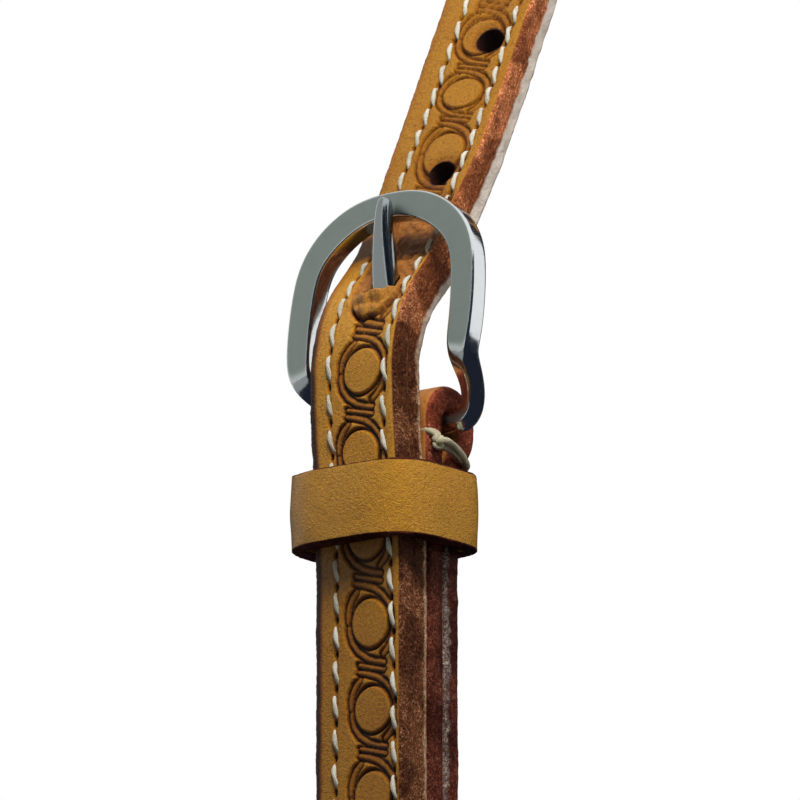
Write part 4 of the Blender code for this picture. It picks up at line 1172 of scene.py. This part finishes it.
def twisted_cord(name, middle, radius, closed=False):
    """A laid cord along points."""
    plies, twist, sides = 3, 900.0, 12
    count = len(middle)
    ahead = np.roll(middle, -1, 0) - np.roll(middle, 1, 0) if closed else np.gradient(middle, axis=0)
    ahead /= np.linalg.norm(ahead, axis=1)[:, None]
    side = np.cross(ahead[0], (0.3, 0.5, 0.8))
    points, fibre = [], []
    length = np.concatenate([[0], np.cumsum(np.linalg.norm(np.diff(middle, axis=0), axis=1))])
    angle = 2 * np.pi * np.arange(sides) / sides
    for k in range(count):
        side = side - ahead[k] * np.dot(side, ahead[k])
        side /= np.linalg.norm(side)
        up = np.cross(ahead[k], side)
        lay = plies * angle - twist * 2 * length[k]
        size = radius * (0.86 + 0.16 * np.abs(np.cos(lay / 2)))
        if not closed:
            size = size * (0.25 + 0.75 * min(1.0, min(k, count - 1 - k) / 2))
        wide, high = np.cos(angle) * size, np.sin(angle) * size
        points.append(middle[k] + side * wide[:, None] + up * high[:, None])
        fibre.extend(lay / (2 * np.pi))
    obj = outward(make_object(name, np.concatenate(points), tube_faces(0, count, sides, closed)))
    set_attribute(obj, "fibre", fibre)
    return obj


# Corners of the lace's way round the edge, and of its short end, in mm from the heel bar's middle
LACE_WAY = [
    (3.9, 4.2, -1.5), (5.0, 5.4, -1.5), (5.1, 7.3, -1.8), (4.6, 8.7, -2.5), (4.5, 8.95, -3.6),
    (1.2, 8.9, -4.3), (-2.1, 8.8, -5.6), (-3.3, 7.4, -6.0), (-3.3, 5.4, -6.0), (-2.2, 4.2, -6.0),
    (0, 4.2, -3.75)]
LACE_END_WAY = [
    (4.5, 8.95, -3.6), (4.0, 9.85, -3.4), (2.3, 9.85, -3.7), (-0.1, 9.55, -4.6), (-1.9, 9.25, -5.8)]
END_RADIUS = 0.50 * MM
KNOT_SIZE = np.array([0.8, 0.6, 0.62]) * 0.3844 * MM
lace_way, lace_end_way = (np.array(BAR_AT) + np.array(way) * MM for way in (LACE_WAY, LACE_END_WAY))
near_lace = twisted_cord("near_lace", smooth_line(lace_way, 220, True), LACE_RADIUS, True)
turns = np.linspace(0, 2 * np.pi, 90, endpoint=False)
knot = np.stack([
    0.8 * np.sin(3 * turns), np.sin(turns) + 2 * np.sin(2 * turns), np.cos(turns) - 2 * np.cos(2 * turns)], 1)
near_knot = twisted_cord("near_lace_knot", lace_end_way[0] + knot * KNOT_SIZE, END_RADIUS, True)
near_lace_end = twisted_cord("near_lace_end", smooth_line(lace_end_way, 44, False), END_RADIUS)

# %% [markdown]
# Each bit loop is closed by two screw posts. A turned part is made as on a lathe: half its profile
# is drawn once and spun round the axis. The screw side then gets its driver slot.

# %% Screw posts and screws
HEAD_RADIUS, HEAD_HEIGHT, DOME = 4.8 * MM, 1.6 * MM, 0.55 * MM
SCREW_SEAT = PINCHED + CHEEK_LAYER / 2 + SEAT_GAP
HEAD_TOP, NECK, NECK_END = SCREW_SEAT + HEAD_HEIGHT, 2.4 * MM, 2 * MM
HEAD = [(SCREW_SEAT, NECK), (SCREW_SEAT, HEAD_RADIUS - 0.2 * MM), (SCREW_SEAT + 0.2 * MM, HEAD_RADIUS),
        (HEAD_TOP - 0.75 * MM, HEAD_RADIUS)]
HEAD += [(HEAD_TOP - 0.5 * MM + DOME * math.cos(a), HEAD_RADIUS * math.sin(a))
         for a in np.linspace(math.pi / 2 * 0.96, 0, 9)]
POST_PROFILE = [(-NECK_END, 0), (-NECK_END, NECK)] + HEAD
SCREW_PROFILE = [(2.2 * MM, 0), (2.2 * MM, 1.2 * MM), (3.4 * MM, 1.3 * MM)] + HEAD
DRIVER_HALF, DRIVER_DEPTH, DRIVER_REACH = 0.55 * MM, 0.75 * MM, 6 * MM


def spun(name, profile, direction, centre):
    """A turned piece from (along, radius) rows, its axis along X."""
    mesh = bpy.data.meshes.new(name)
    rows = [(direction * along, radius, 0.0) for along, radius in profile]
    mesh.from_pydata(rows, [(k, k + 1) for k in range(len(rows) - 1)], [])
    obj = bpy.data.objects.new(name, mesh)
    bpy.context.scene.collection.objects.link(obj)
    activate(obj)
    bpy.ops.object.mode_set(mode='EDIT')
    bpy.ops.mesh.select_all(action='SELECT')
    bpy.ops.mesh.spin(steps=56, angle=2 * math.pi, center=(0, 0, 0), axis=(1, 0, 0))
    bpy.ops.mesh.select_all(action='SELECT')
    bpy.ops.mesh.remove_doubles(threshold=0.005 * MM)
    bpy.ops.mesh.normals_make_consistent(inside=False)
    bpy.ops.object.mode_set(mode='OBJECT')
    obj.data.transform(Matrix.Translation(centre))
    obj.data.shade_smooth()
    obj.data.set_sharp_from_angle(angle=math.radians(40))
    return obj


near_screws = {}
for (word, drop), slant in zip(SCREW_DROPS.items(), (35, -18)):
    centre = BAR_AT + Vector((CHEEK_MIDDLE, 0, -drop))
    post = spun(f"near_{word}_post_head", POST_PROFILE, 1, centre)
    screw = spun(f"near_{word}_screw_head", SCREW_PROFILE, -1, centre)
    face = centre.x - HEAD_TOP
    driver = box_between(
        (face - 2 * MM, -DRIVER_HALF, -DRIVER_REACH), (face + DRIVER_DEPTH, DRIVER_HALF, DRIVER_REACH))
    driver.data.transform(Matrix.Translation((0, 0, centre.z)) @ Matrix.Rotation(math.radians(slant), 4, 'X'))
    cut(screw, driver, 'EXACT')
    near_screws[f"near_{word}_screw_post"], near_screws[f"near_{word}_screw"] = post, screw
print("screw pieces:", [o.name for o in near_screws.values()])

# %% [markdown]
# The browband crosses the forehead. Its ends fold round the crown and come back inside, and an
# inner layer fills the space between them.

# %% Browband
BROWBAND_DROP, BROWBAND_JOIN, BROWBAND_TURNBACK, LOOP_LEAD = 95 * MM, 13.5 * MM, 22 * MM, 1.0 * MM
THREAD_ROOM = 0.3 * MM
loop_radius = BILLET_THICK / 2 + SEAT_GAP + BROWBAND_LAYER / 2 + THREAD_ROOM
lead = STRAP_WIDTH / 2 + LOOP_LEAD
brow_layer = BROWBAND_LAYER + SEAT_GAP
brow_bend = CROWN_HALF_SPAN + loop_radius
brow_half = [("run", BROWBAND_TURNBACK)] + sideways(2 * loop_radius - brow_layer, BROWBAND_JOIN)
brow_half += [("run", 2 * lead), ("arc", loop_radius, -180.0)]
before_front = length_of(brow_half)
brow_half += [("run", 2 * lead + BROWBAND_JOIN + BROWBAND_TURNBACK + 2 * SEAT_GAP)]
brow_line = Line(
    (brow_bend - brow_layer, -(lead + BROWBAND_JOIN + BROWBAND_TURNBACK) - BILLET_SIDE_SHIFT), 90.0,
    brow_half + [("arc", brow_bend, -180.0)] + brow_half[::-1], level=-BROWBAND_DROP, side=-1)
brow_middle = brow_line.length / 2
front_start = before_front + 2 * lead + 2 * MM
front_end = brow_line.length - front_start


def brow_relief(along, across):
    """Stamp and seams between the two loops."""
    height = stamped(brow_middle - along + 0.1 * MM * wander(along, 9 * MM, 61), across)
    from_end = np.minimum(along - front_start, front_end - along)
    seams = two_channels(along - brow_middle, across) * ease(0, MM, from_end)
    return np.minimum(height * ease(3 * MM, 6 * MM, from_end), seams)


brow_top = BROWBAND_LAYER / 2
brow_section = band_section(
    -brow_top, brow_top, fine_columns(0.8 * MM, -6.6 * MM, 6.6 * MM, 0.32 * MM, 0.4 * MM), 7, 8,
    0.8 * MM, 0.4 * MM)
browband = band(
    "browband_leather", brow_line, np.arange(0, brow_line.length, 0.5 * MM), brow_section, brow_relief,
    seed=65)
brow_ends = lead + BROWBAND_JOIN + BROWBAND_TURNBACK + SEAT_GAP
brow_lining_line = Line(
    (brow_bend, -brow_ends - BILLET_SIDE_SHIFT), -90.0,
    [("run", SEAT_GAP), ("arc", brow_bend, -180.0), ("run", SEAT_GAP)], level=-BROWBAND_DROP)
lining_middle = brow_lining_line.length / 2
brow_lining_section = band_section(
    brow_layer - brow_top, brow_layer + brow_top, even_columns(0.5 * MM, 34), 7, 6, 0.5 * MM, 0.3 * MM)
browband_lining = band(
    "browband_inner_layer", brow_lining_line, np.arange(0, brow_lining_line.length, 0.5 * MM),
    brow_lining_section, lambda along, across: two_channels(along - lining_middle, across),
    edge_rough=LINING_ROUGH, seed=67)
brow_seam = side_seams(front_start + MM, front_end - MM, brow_middle)
browband_thread = thread_seam("browband_thread", brow_line, brow_seam, brow_top)
browband_inner_thread = thread_seam(
    "browband_inner_thread", brow_lining_line,
    side_seams(3 * MM, brow_lining_line.length - 3 * MM, lining_middle), brow_layer + brow_top)
print("browband faces:", len(browband.data.polygons), "stitches:", len(brow_seam))

# %% [markdown]
# Materials are built from a few shared groups. Leather needs a pebbled grain with pores and a slow
# change of tone, a cut edge needs pale fibres, and worked metal needs fine scratches.

# %% Node helpers
BLACK, WHITE = (0.0, 0.0, 0.0), (1.0, 1.0, 1.0)
ROW, COLUMN_WIDE, ROW_HIGH = 10, 220, 340


class Net:
    """A node tree whose nodes are laid out in rows, in the order in which they are made."""

    def __init__(self, tree):
        self.tree = tree

    def node(self, kind, inputs=None, **settings):
        """A node with its settings, and its inputs given as values or as sockets to link."""
        count = len(self.tree.nodes)
        made = self.tree.nodes.new(kind if kind.startswith("Node") else "ShaderNode" + kind)
        made.location = (count % ROW * COLUMN_WIDE, -(count // ROW) * ROW_HIGH)
        for key, value in settings.items():
            setattr(made, key, value)
        for key, value in (inputs or {}).items():
            socket = made.inputs[key]
            if isinstance(value, bpy.types.NodeSocket):
                self.tree.links.new(value, socket)
            else:
                socket.default_value = (*value, 1.0) if socket.type == 'RGBA' and len(value) == 3 else value
        return made

    def place(self):
        return self.node("TexCoord").outputs["Object"]

    def mark(self, name):
        """The value of an attribute."""
        return self.node("Attribute", attribute_name=name).outputs["Fac"]

    def noise(self, place, scale, detail, **more):
        inputs = {"Vector": place, "Scale": scale, "Detail": detail, **more}
        return self.node("TexNoise", inputs).outputs["Fac"]

    def cells(self, place, scale, feature):
        return self.node("TexVoronoi", {"Vector": place, "Scale": scale}, feature=feature).outputs

    def maths(self, operation, *values, clamp=False):
        return self.node("Math", dict(enumerate(values)), operation=operation, use_clamp=clamp).outputs[0]

    def ramp(self, fac, *stops):
        """A colour ramp with the given (position, colour) stops."""
        made = self.node("ValToRGB", {"Fac": fac})
        elements = made.color_ramp.elements
        while len(elements) < len(stops):
            elements.new(0.5)
        for element, (position, colour) in zip(elements, stops):
            element.position, element.color = position, (*colour, 1.0)
        return made.outputs["Color"]

    def mix(self, fac, first, second, mode='MIX'):
        """Two colours mixed or multiplied."""
        inputs = {0: fac, 6: first, 7: second}
        return self.node("Mix", inputs, data_type='RGBA', blend_type=mode).outputs[2]

    def bump(self, height, strength, distance, **more):
        inputs = {"Height": height, "Strength": strength, "Distance": distance, **more}
        return self.node("Bump", inputs).outputs["Normal"]


def new_group(name, inputs, outputs):
    """An empty node group with its sockets, as a net, and the sockets that come in."""
    net = Net(bpy.data.node_groups.new(name, 'ShaderNodeTree'))
    for label, value in inputs.items():
        kind = 'NodeSocketVector' if value is None else 'NodeSocketFloat'
        made = net.tree.interface.new_socket(label, in_out='INPUT', socket_type=kind)
        if value is not None:
            made.default_value = value
    for label in outputs:
        net.tree.interface.new_socket(label, in_out='OUTPUT', socket_type='NodeSocketFloat')
    return net, net.node("NodeGroupInput").outputs


def new_material(name):
    """An empty material as a net."""
    material = bpy.data.materials.new(name)
    material.use_nodes = True
    material.node_tree.nodes.clear()
    return material, Net(material.node_tree)


def surface(net, inputs):
    """The shader with its inputs, joined to the output."""
    shader = net.node("BsdfPrincipled", inputs)
    net.node("OutputMaterial", {"Surface": shader.outputs["BSDF"]})


# %% [markdown]
# Leather's grain is a net of pebbles with fine cracks between them. A slow noise mottles the dye,
# and pores are cells picked at random.

# %% Grain of leather
grain, given = new_group(
    "leather grain", {"Vector": None, "Cells": 2300.0}, ["Height", "Mottle", "Pores", "Specks"])
place = given["Vector"]
wide = grain.maths('MULTIPLY', given["Cells"], 0.8)
pebble = grain.cells(place, given["Cells"], 'SMOOTH_F1')["Distance"]
seam = grain.cells(place, wide, 'DISTANCE_TO_EDGE')["Distance"]
pore = grain.cells(place, wide, 'F1')
fine, slow = grain.noise(place, 6200.0, 2.0, Roughness=0.6), grain.noise(place, 120.0, 5.0)
crack = grain.maths('MULTIPLY', grain.maths('MINIMUM', grain.maths('MULTIPLY', seam, 6.0), 1.0), 0.22)
coarse = grain.maths('MULTIPLY_ADD', pebble, -0.5, crack)
picked = grain.node("SeparateColor", {"Color": pore["Color"]}).outputs["Red"]
speckle = grain.maths('MULTIPLY_ADD', pebble, -0.35, fine)
grain.node("NodeGroupOutput", {
    "Height": grain.maths('MULTIPLY_ADD', fine, 1.3, coarse),
    "Mottle": grain.ramp(slow, (0.36, BLACK), (0.64, WHITE)),
    "Pores": grain.maths('LESS_THAN', pore["Distance"], grain.maths('MULTIPLY_ADD', picked, 0.9, -0.62)),
    "Specks": grain.ramp(speckle, (0.18, BLACK), (0.50, WHITE))})

# %% [markdown]
# A cut edge shows the ends of torn fibres, in clumps, and worked metal shows fine scratches along
# one way with slow clouds.

# %% Fibres and scratches
fibres, given = new_group("cut edge", {"Vector": None}, ["Fibres", "Height"])
specks = fibres.noise(given["Vector"], 2700.0, 3.0, Roughness=0.65, Distortion=1.2)
mixed = fibres.maths('MULTIPLY_ADD', fibres.noise(given["Vector"], 520.0, 3.0), 0.16, specks)
fibres.node("NodeGroupOutput", {"Fibres": fibres.ramp(mixed, (0.42, BLACK), (0.76, WHITE)), "Height": mixed})

scratches, given = new_group("scratches", {"Vector": None}, ["Marks", "Clouds"])
stretched = scratches.node("Mapping", {
    "Vector": given["Vector"], "Rotation": (0.4, 0.3, 0.9), "Scale": (300, 4500, 2200)}).outputs["Vector"]
scratches.node("NodeGroupOutput", {
    "Marks": scratches.ramp(scratches.noise(stretched, 1.0, 3.0), (0.5, BLACK), (0.72, WHITE)),
    "Clouds": scratches.noise(given["Vector"], 350.0, 4.0)})
print("groups:", [g.name for g in bpy.data.node_groups])

# %% [markdown]
# The stamped leather is dyed golden; dye gathers in its pressed parts and shade is painted there too,
# so the depth of pressing drives a ramp from gold through orange to dark brown. The cut edge has its own
# tone.

# %% Leathers
# Tints: the orange of torn leather; a darkening, which also paints the shadow of the buckle's arch; and a
# lightening of the edges, painted light above the buckle and paler round the cheek's fold.
STAINED, DARKENED_AND_SHADE_TINT, LIGHTENING = (0.36, 0.135, 0.030), (0.69, 0.62, 0.42), (3.3, 3.0, 2.6)


def times(colour, *factors):
    """A colour times one factor or one for each channel."""
    return tuple(v * k for v, k in zip(colour, factors * 3))


def leather(name, tones, edge, fibre, roughness, grain_size, cells=2300.0, pale_edge=(0.36, 0.20, 0.10),
            dirt=1.0):
    """Tones are the colours from the raised face to the most deeply pressed part, where dye gathers and shade
    is painted.
    """
    material, net = new_material(name)
    place = net.place()
    grained = net.node("Group", {"Vector": place, "Cells": cells}, node_tree=grain.tree).outputs
    fibred = net.node("Group", {"Vector": place}, node_tree=fibres.tree).outputs
    marks = ("recess", "cut_edge", "oiled", "stain", "bare", "fade")
    recess, cut_edge, oiled, stain, bare, fade = (net.mark(mark) for mark in marks)
    # The grain side
    mottle = net.maths('MULTIPLY_ADD', grained["Mottle"], 0.14 * dirt, -0.05 * dirt)
    depth_and_mottle = net.maths('ADD', recess, mottle, clamp=True)
    face = net.ramp(depth_and_mottle, *zip((0.0, 0.26, 0.52, 0.88), tones))
    face = net.mix(net.maths('MULTIPLY', grained["Pores"], 0.55 * dirt), face, tones[2])
    low = [1 - dirt * v for v in (0.42, 0.47, 0.55)]
    shade = net.ramp(grained["Specks"], (0.0, low), (0.5, WHITE), (1.0, (1.0 + 0.15 * dirt,) * 3))
    face = net.mix(1.0, face, shade, 'MULTIPLY')
    # Darker leather where the darkening mark says, with the painted shadow of the arch.
    face = net.mix(oiled, face, net.mix(1.0, face, DARKENED_AND_SHADE_TINT, 'MULTIPLY'))
    face = net.mix(stain, face, net.mix(1.0, STAINED, shade, 'MULTIPLY'))
    # The cut edge: raw fibres, with painted light above the buckle and paler round the cheek's fold,
    # with blotches, and a pale band: the lining's pale flesh corner, and a painted highlight on the cheek.
    raw = net.ramp(fibred["Fibres"], (0.0, times(edge, 0.10)), (0.34, times(edge, 0.75)),
                   (0.62, times(edge, 1.3)), (1.0, fibre))
    lightened = net.mix(0.35, net.mix(1.0, raw, LIGHTENING, 'MULTIPLY'), times(edge, 3.0, 2.9, 2.8))
    raw = net.mix(fade, raw, lightened)
    pale = net.ramp(fibred["Fibres"], (0.0, edge), (0.5, pale_edge), (1.0, (0.62, 0.50, 0.38)))
    pale = net.mix(net.maths('MULTIPLY', fade, 0.75), pale, (0.78, 0.70, 0.60))
    blotches = net.ramp(grained["Mottle"], (0.35, (0.55, 0.48, 0.44)), (0.62, (1.2, 1.2, 1.2)))
    raw = net.mix(bare, net.mix(1.0, raw, blotches, 'MULTIPLY'), pale)
    frayed = net.maths('MULTIPLY_ADD', fibred["Height"], 0.3, net.maths('ADD', cut_edge, -0.15))
    on_edge = net.ramp(frayed, (0.35, BLACK), (0.6, WHITE))
    rough_face = net.maths('MULTIPLY_ADD', recess, 0.12, roughness)
    pebbled = net.bump(grained["Height"], min(1.0, 0.6 * grain_size), 0.00010 * max(1.0, 0.6 * grain_size))
    surface(net, {
        "Base Color": net.mix(on_edge, face, raw),
        "Roughness": net.maths('MULTIPLY_ADD', on_edge, 0.25, rough_face, clamp=True),
        "Normal": net.bump(fibred["Height"], net.maths('MULTIPLY', on_edge, 0.8), 0.0002, Normal=pebbled),
        "Specular IOR Level": net.maths('MULTIPLY_ADD', on_edge, -0.27, 0.32),
        "Coat Weight": 0.06, "Coat Roughness": 0.35})
    return material


GOLD = [(0.47, 0.220, 0.020), (0.37, 0.145, 0.011), (0.175, 0.056, 0.007), (0.026, 0.008, 0.004)]
BROWN = [(0.24, 0.105, 0.045), (0.20, 0.08, 0.03), (0.10, 0.035, 0.015), (0.03, 0.010, 0.005)]
OXBLOOD = [(0.080, 0.020, 0.013), (0.07, 0.016, 0.011), (0.045, 0.010, 0.007), (0.02, 0.004, 0.003)]
PLAIN = [(0.46, 0.215, 0.020), (0.36, 0.150, 0.016), (0.20, 0.065, 0.010), (0.07, 0.02, 0.006)]
RAW, PALE_FIBRE, RED_FIBRE = (0.108, 0.035, 0.014), (0.36, 0.19, 0.10), (0.22, 0.08, 0.045)
face_leather = leather("stamped tan leather", GOLD, RAW, PALE_FIBRE, 0.46, 1.9)
# The cheek's pale edge colour is the grey of its painted highlight.
cheek_leather = leather(
    "tan cheek leather", GOLD, (0.070, 0.015, 0.008), RED_FIBRE, 0.46, 1.0, pale_edge=(0.15, 0.11, 0.10))
lining_leather = leather("brown lining leather", BROWN, RAW, PALE_FIBRE, 0.6, 1.4, 1700.0)
inner_leather = leather("oxblood inner leather", OXBLOOD, (0.082, 0.019, 0.010), RED_FIBRE, 0.62, 1.4, 1700.0)
keeper_leather = leather(
    "plain keeper leather", PLAIN, (0.066, 0.015, 0.010), (0.15, 0.04, 0.03), 0.36, 3.0, 2100.0, dirt=0.7)


# %% [markdown]
# Thread is cotton and the lace is waxed cord. Their plies are geometry, so only the fibres inside a
# ply are drawn, in step with the fibre attribute.

# %% Thread and cord
def spun_fibre(name, light, dark, lines, roughness=0.75):
    """Cotton or waxed cord."""
    material, net = new_material(name)
    place = net.place()
    wave = net.maths('SINE', net.maths('MULTIPLY', net.mark("fibre"), lines))
    both = net.maths('MULTIPLY_ADD', wave, 0.18, net.noise(place, 4200.0, 4.0))
    tone = net.maths('MULTIPLY_ADD', net.noise(place, 260.0, 3.0), 0.5, net.maths('MULTIPLY', both, 0.6))
    surface(net, {
        "Base Color": net.ramp(tone, (0.35, dark), (0.62, light)), "Normal": net.bump(both, 0.7, 0.00006),
        "Roughness": roughness, "Sheen Weight": 0.15})
    return material


thread_cotton = spun_fibre("cream thread", (0.56, 0.53, 0.43), (0.24, 0.21, 0.14), 40.0)
lace_waxed = spun_fibre("waxed lace", (0.46, 0.42, 0.27), (0.20, 0.17, 0.09), 30.0, 0.6)


# %% [markdown]
# The buckle's front is rubbed flat and dull, and its rounded sides are polished. The satin attribute
# that was measured from the normals tells the two apart.

# %% Metals
def metal(name, polished, satin, bright_rough, satin_rough, marks=0.10):
    """Steel that is polished, and satin where the satin attribute says so."""
    material, net = new_material(name)
    rub = net.mark("satin")
    scratched = net.node("Group", {"Vector": net.place()}, node_tree=scratches.tree).outputs
    base = net.mix(rub, polished, satin)
    cloud = net.maths('MULTIPLY_ADD', scratched["Clouds"], 0.5, 0.75)
    clouded = net.mix(1.0, base, net.ramp(cloud, (0.7, (0.75, 0.75, 0.75)), (1.0, WHITE)), 'MULTIPLY')
    dull = net.maths('MULTIPLY_ADD', rub, satin_rough - bright_rough, bright_rough)
    surface(net, {
        "Base Color": net.mix(0.6, base, clouded), "Metallic": 1.0,
        "Roughness": net.maths('MULTIPLY_ADD', scratched["Marks"], marks, dull),
        "Normal": net.bump(scratched["Marks"], 0.12, 0.00003)})
    return material


buckle_steel = metal("buckle steel", (0.70, 0.73, 0.74), (0.34, 0.385, 0.37), 0.13, 0.38)
tongue_steel = metal("tongue steel", (0.36, 0.39, 0.405), (0.4, 0.42, 0.42), 0.15, 0.30)
screw_steel = metal("screw steel", (0.62, 0.63, 0.62), (0.5, 0.5, 0.5), 0.20, 0.30, 0.2)

# %% [markdown]
# Every near piece now gets its finish and is copied to the off side. Each is tied to the body that
# carries it; the billets and their thread have none and stay fixed in place.

# %% Finish, copy and tie
near_rows = [
    (near_billet, face_leather, "face_leather", None, ["near_billet_tail_face"]),
    (near_billet_lining, lining_leather, "lining_leather", None, ["near_billet_tail_lining"]),
    (near_thread, thread_cotton, None, None, []),
    (near_frame, buckle_steel, "buckle_steel", "crown", ["near_buckle_frame"]),
    (near_tongue, tongue_steel, "tongue_steel", "near_tongue", ["near_buckle_tongue"]),
    (near_cheek, cheek_leather, "cheek_leather", "near_cheek", ["near_cheek_strap"]),
    (near_cheek_lining, inner_leather, "cheek_lining_leather", "near_cheek", ["near_cheek_lining"]),
    (near_cheek_thread, thread_cotton, None, "near_cheek", []),
    (near_inner_thread, thread_cotton, None, "near_cheek", []),
    (near_lace, lace_waxed, "lace_cord", "near_cheek", ["near_turnback_lace"]),
    (near_knot, lace_waxed, "lace_cord", "near_cheek", []),
    (near_lace_end, lace_waxed, "lace_cord", "near_cheek", []),
    (near_keeper, keeper_leather, "keeper_leather", "near_keeper", ["near_keeper"]),
] + [(piece, screw_steel, "screw_steel", "near_cheek", [name]) for name, piece in near_screws.items()]


def tie(piece, body, nodes):
    """Hides the replaced solids, and ties the piece to its body or, without one, bakes it in place."""
    if nodes:
        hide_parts(*nodes)
    if body:
        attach(piece, body)
        return
    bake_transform(piece)


def on_off_side(name):
    return name.replace("near_", "off_")


for piece, material, slot, body, nodes in near_rows:
    piece.data.materials.clear()
    piece.data.materials.append(material)
    other = off_copy(piece)
    tie(piece, body, nodes)
    tie(other, body and on_off_side(body), [on_off_side(name) for name in nodes])

for piece, material, slot, body, nodes in [
        (crown_leather, face_leather, "face_leather", "crown", ["crown_face"]),
        (crown_lining, lining_leather, "lining_leather", "crown", ["crown_lining"]),
        (crown_thread, thread_cotton, None, "crown", []),
        (browband, cheek_leather, "cheek_leather", "browband", ["browband_strap"]),
        (browband_lining, lining_leather, "lining_leather", "browband", ["browband_lining"]),
        (browband_thread, thread_cotton, None, "browband", []),
        (browband_inner_thread, thread_cotton, None, "browband", [])]:
    piece.data.materials.append(material)
    tie(piece, body, nodes)

# %% [markdown]
# The studio is white and soft. The floor lies below the straps, and a few cards that only
# reflections can see give the polished steel its shape.

# %% Floor
FLOOR_LEVEL = -0.482
bpy.ops.mesh.primitive_plane_add(size=8, location=(0, 0, FLOOR_LEVEL))
floor = bpy.context.object
floor.name = "floor"
floor_material, net = new_material("pale floor")
surface(net, {
    "Base Color": (0.86, 0.86, 0.855), "Roughness": 0.8, "Emission Color": WHITE, "Emission Strength": 0.5})
floor.visible_diffuse = False
floor.data.materials.append(floor_material)
floor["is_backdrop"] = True

# %% [markdown]
# The background is white for the camera and in reflections, and a dim fill for everything else, so
# that the lamps alone shape the leather.

# %% World
world = bpy.data.worlds.new("studio")
bpy.context.scene.world = world
world.use_nodes = True
world.node_tree.nodes.clear()
net = Net(world.node_tree)
path = net.node("LightPath").outputs
seen = net.maths('ADD', path["Is Camera Ray"], path["Is Glossy Ray"], clamp=True)
seen = net.maths('ADD', seen, path["Is Transmission Ray"], clamp=True)
white = net.node("Background", {"Color": WHITE, "Strength": 1.0}).outputs["Background"]
fill = net.node("Background", {"Color": (0.97, 0.98, 1), "Strength": 0.18}).outputs["Background"]
backdrop = net.node("MixShader", {"Fac": seen, 1: fill, 2: white}).outputs["Shader"]
net.node("OutputWorld", {"Surface": backdrop})

# %% [markdown]
# A small key lamp models the stamp from above, a broad one fills the rear, and one behind lights the
# far side for other views. The cards are dark or grey sheets round the buckle, turned and raised
# from the camera's way.

# %% Lamps and cards
def around(degrees, rise):
    """A direction at an angle to the right of the camera's, raised by another angle."""
    angle, up = math.radians(degrees), math.radians(rise)
    ahead = Vector((to_camera.x, to_camera.y, 0)).normalized()
    level = ahead * math.cos(angle) + camera_right * math.sin(angle)
    return level * math.cos(up) + UPRIGHT * math.sin(up)


def lamp(name, turn_to, rise, distance, size, power, glossy):
    """A square lamp that points at the buckle."""
    spot = LOOK_AT + around(turn_to, rise).normalized() * distance
    bpy.ops.object.light_add(type='AREA', location=spot)
    made = bpy.context.object
    made.name = name
    made.rotation_euler = (spot - LOOK_AT).to_track_quat('Z', 'Y').to_euler()
    made.data.shape, made.data.size, made.data.energy = 'SQUARE', size, power
    made.visible_glossy = glossy


def card(name, turns, rises, colour, radius=0.75):
    """A curved sheet round the buckle that only reflections see, between two turns and two rises."""
    columns, rows = 24, 12
    points = [LOOK_AT + radius * around(turns[0] + (turns[1] - turns[0]) * i / columns,
                                        rises[0] + (rises[1] - rises[0]) * j / rows)
              for i in range(columns + 1) for j in range(rows + 1)]
    width = rows + 1
    faces = [(i * width + j, (i + 1) * width + j, (i + 1) * width + j + 1, i * width + j + 1)
             for i in range(columns) for j in range(rows)]
    made = make_object(name, np.array([tuple(p) for p in points]), faces)
    material, net = new_material(name)
    light = net.node("Emission", {"Color": colour, "Strength": 1.0}).outputs["Emission"]
    net.node("OutputMaterial", {"Surface": light})
    made.data.materials.append(material)
    for ray in ("camera", "diffuse", "transmission", "shadow", "volume_scatter"):
        setattr(made, "visible_" + ray, False)
    made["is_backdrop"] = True


lamp("key", 8, 55, 0.62, 0.2, 5.7, False)
lamp("side", 46, 20, 1.2, 0.7, 2.5, True)
lamp("far", 180, 30, 1.3, 0.9, 6.0, False)
NEAR_RADIUS, LOW_DARK = 0.235, (0.014, 0.018, 0.030)
card("grey card", (-118, -50), (-13, 62), (0.53, 0.55, 0.52))
card("grey low card", (-118, -50), (-38, -13), (0.30, 0.32, 0.31), NEAR_RADIUS)
card("camera card", (-42, 68), (-17, 36), (0.012, 0.020, 0.034))
card("back card", (124, 212), (-17, 42), (0.010, 0.014, 0.024))
card("rear gap card", (66, 126), (-17, 3), (0.012, 0.016, 0.026))
card("low card left", (-180, -118), (-90, -15), LOW_DARK, NEAR_RADIUS)
card("low card middle", (-118, -50), (-90, -38), LOW_DARK, NEAR_RADIUS)
card("low card right", (-50, 180), (-90, -15), LOW_DARK, NEAR_RADIUS)

# %% [markdown]
# The view is plain: no filmic curve, so that the colours are shown as they were set.

# %% View and finish
bpy.context.scene.view_settings.view_transform = 'Standard'
bpy.ops.object.select_all(action='DESELECT')
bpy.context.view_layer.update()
triangles = sum(len(p.vertices) - 2 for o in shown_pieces() if o.type == 'MESH' for p in o.data.polygons)
print("triangles:", triangles)
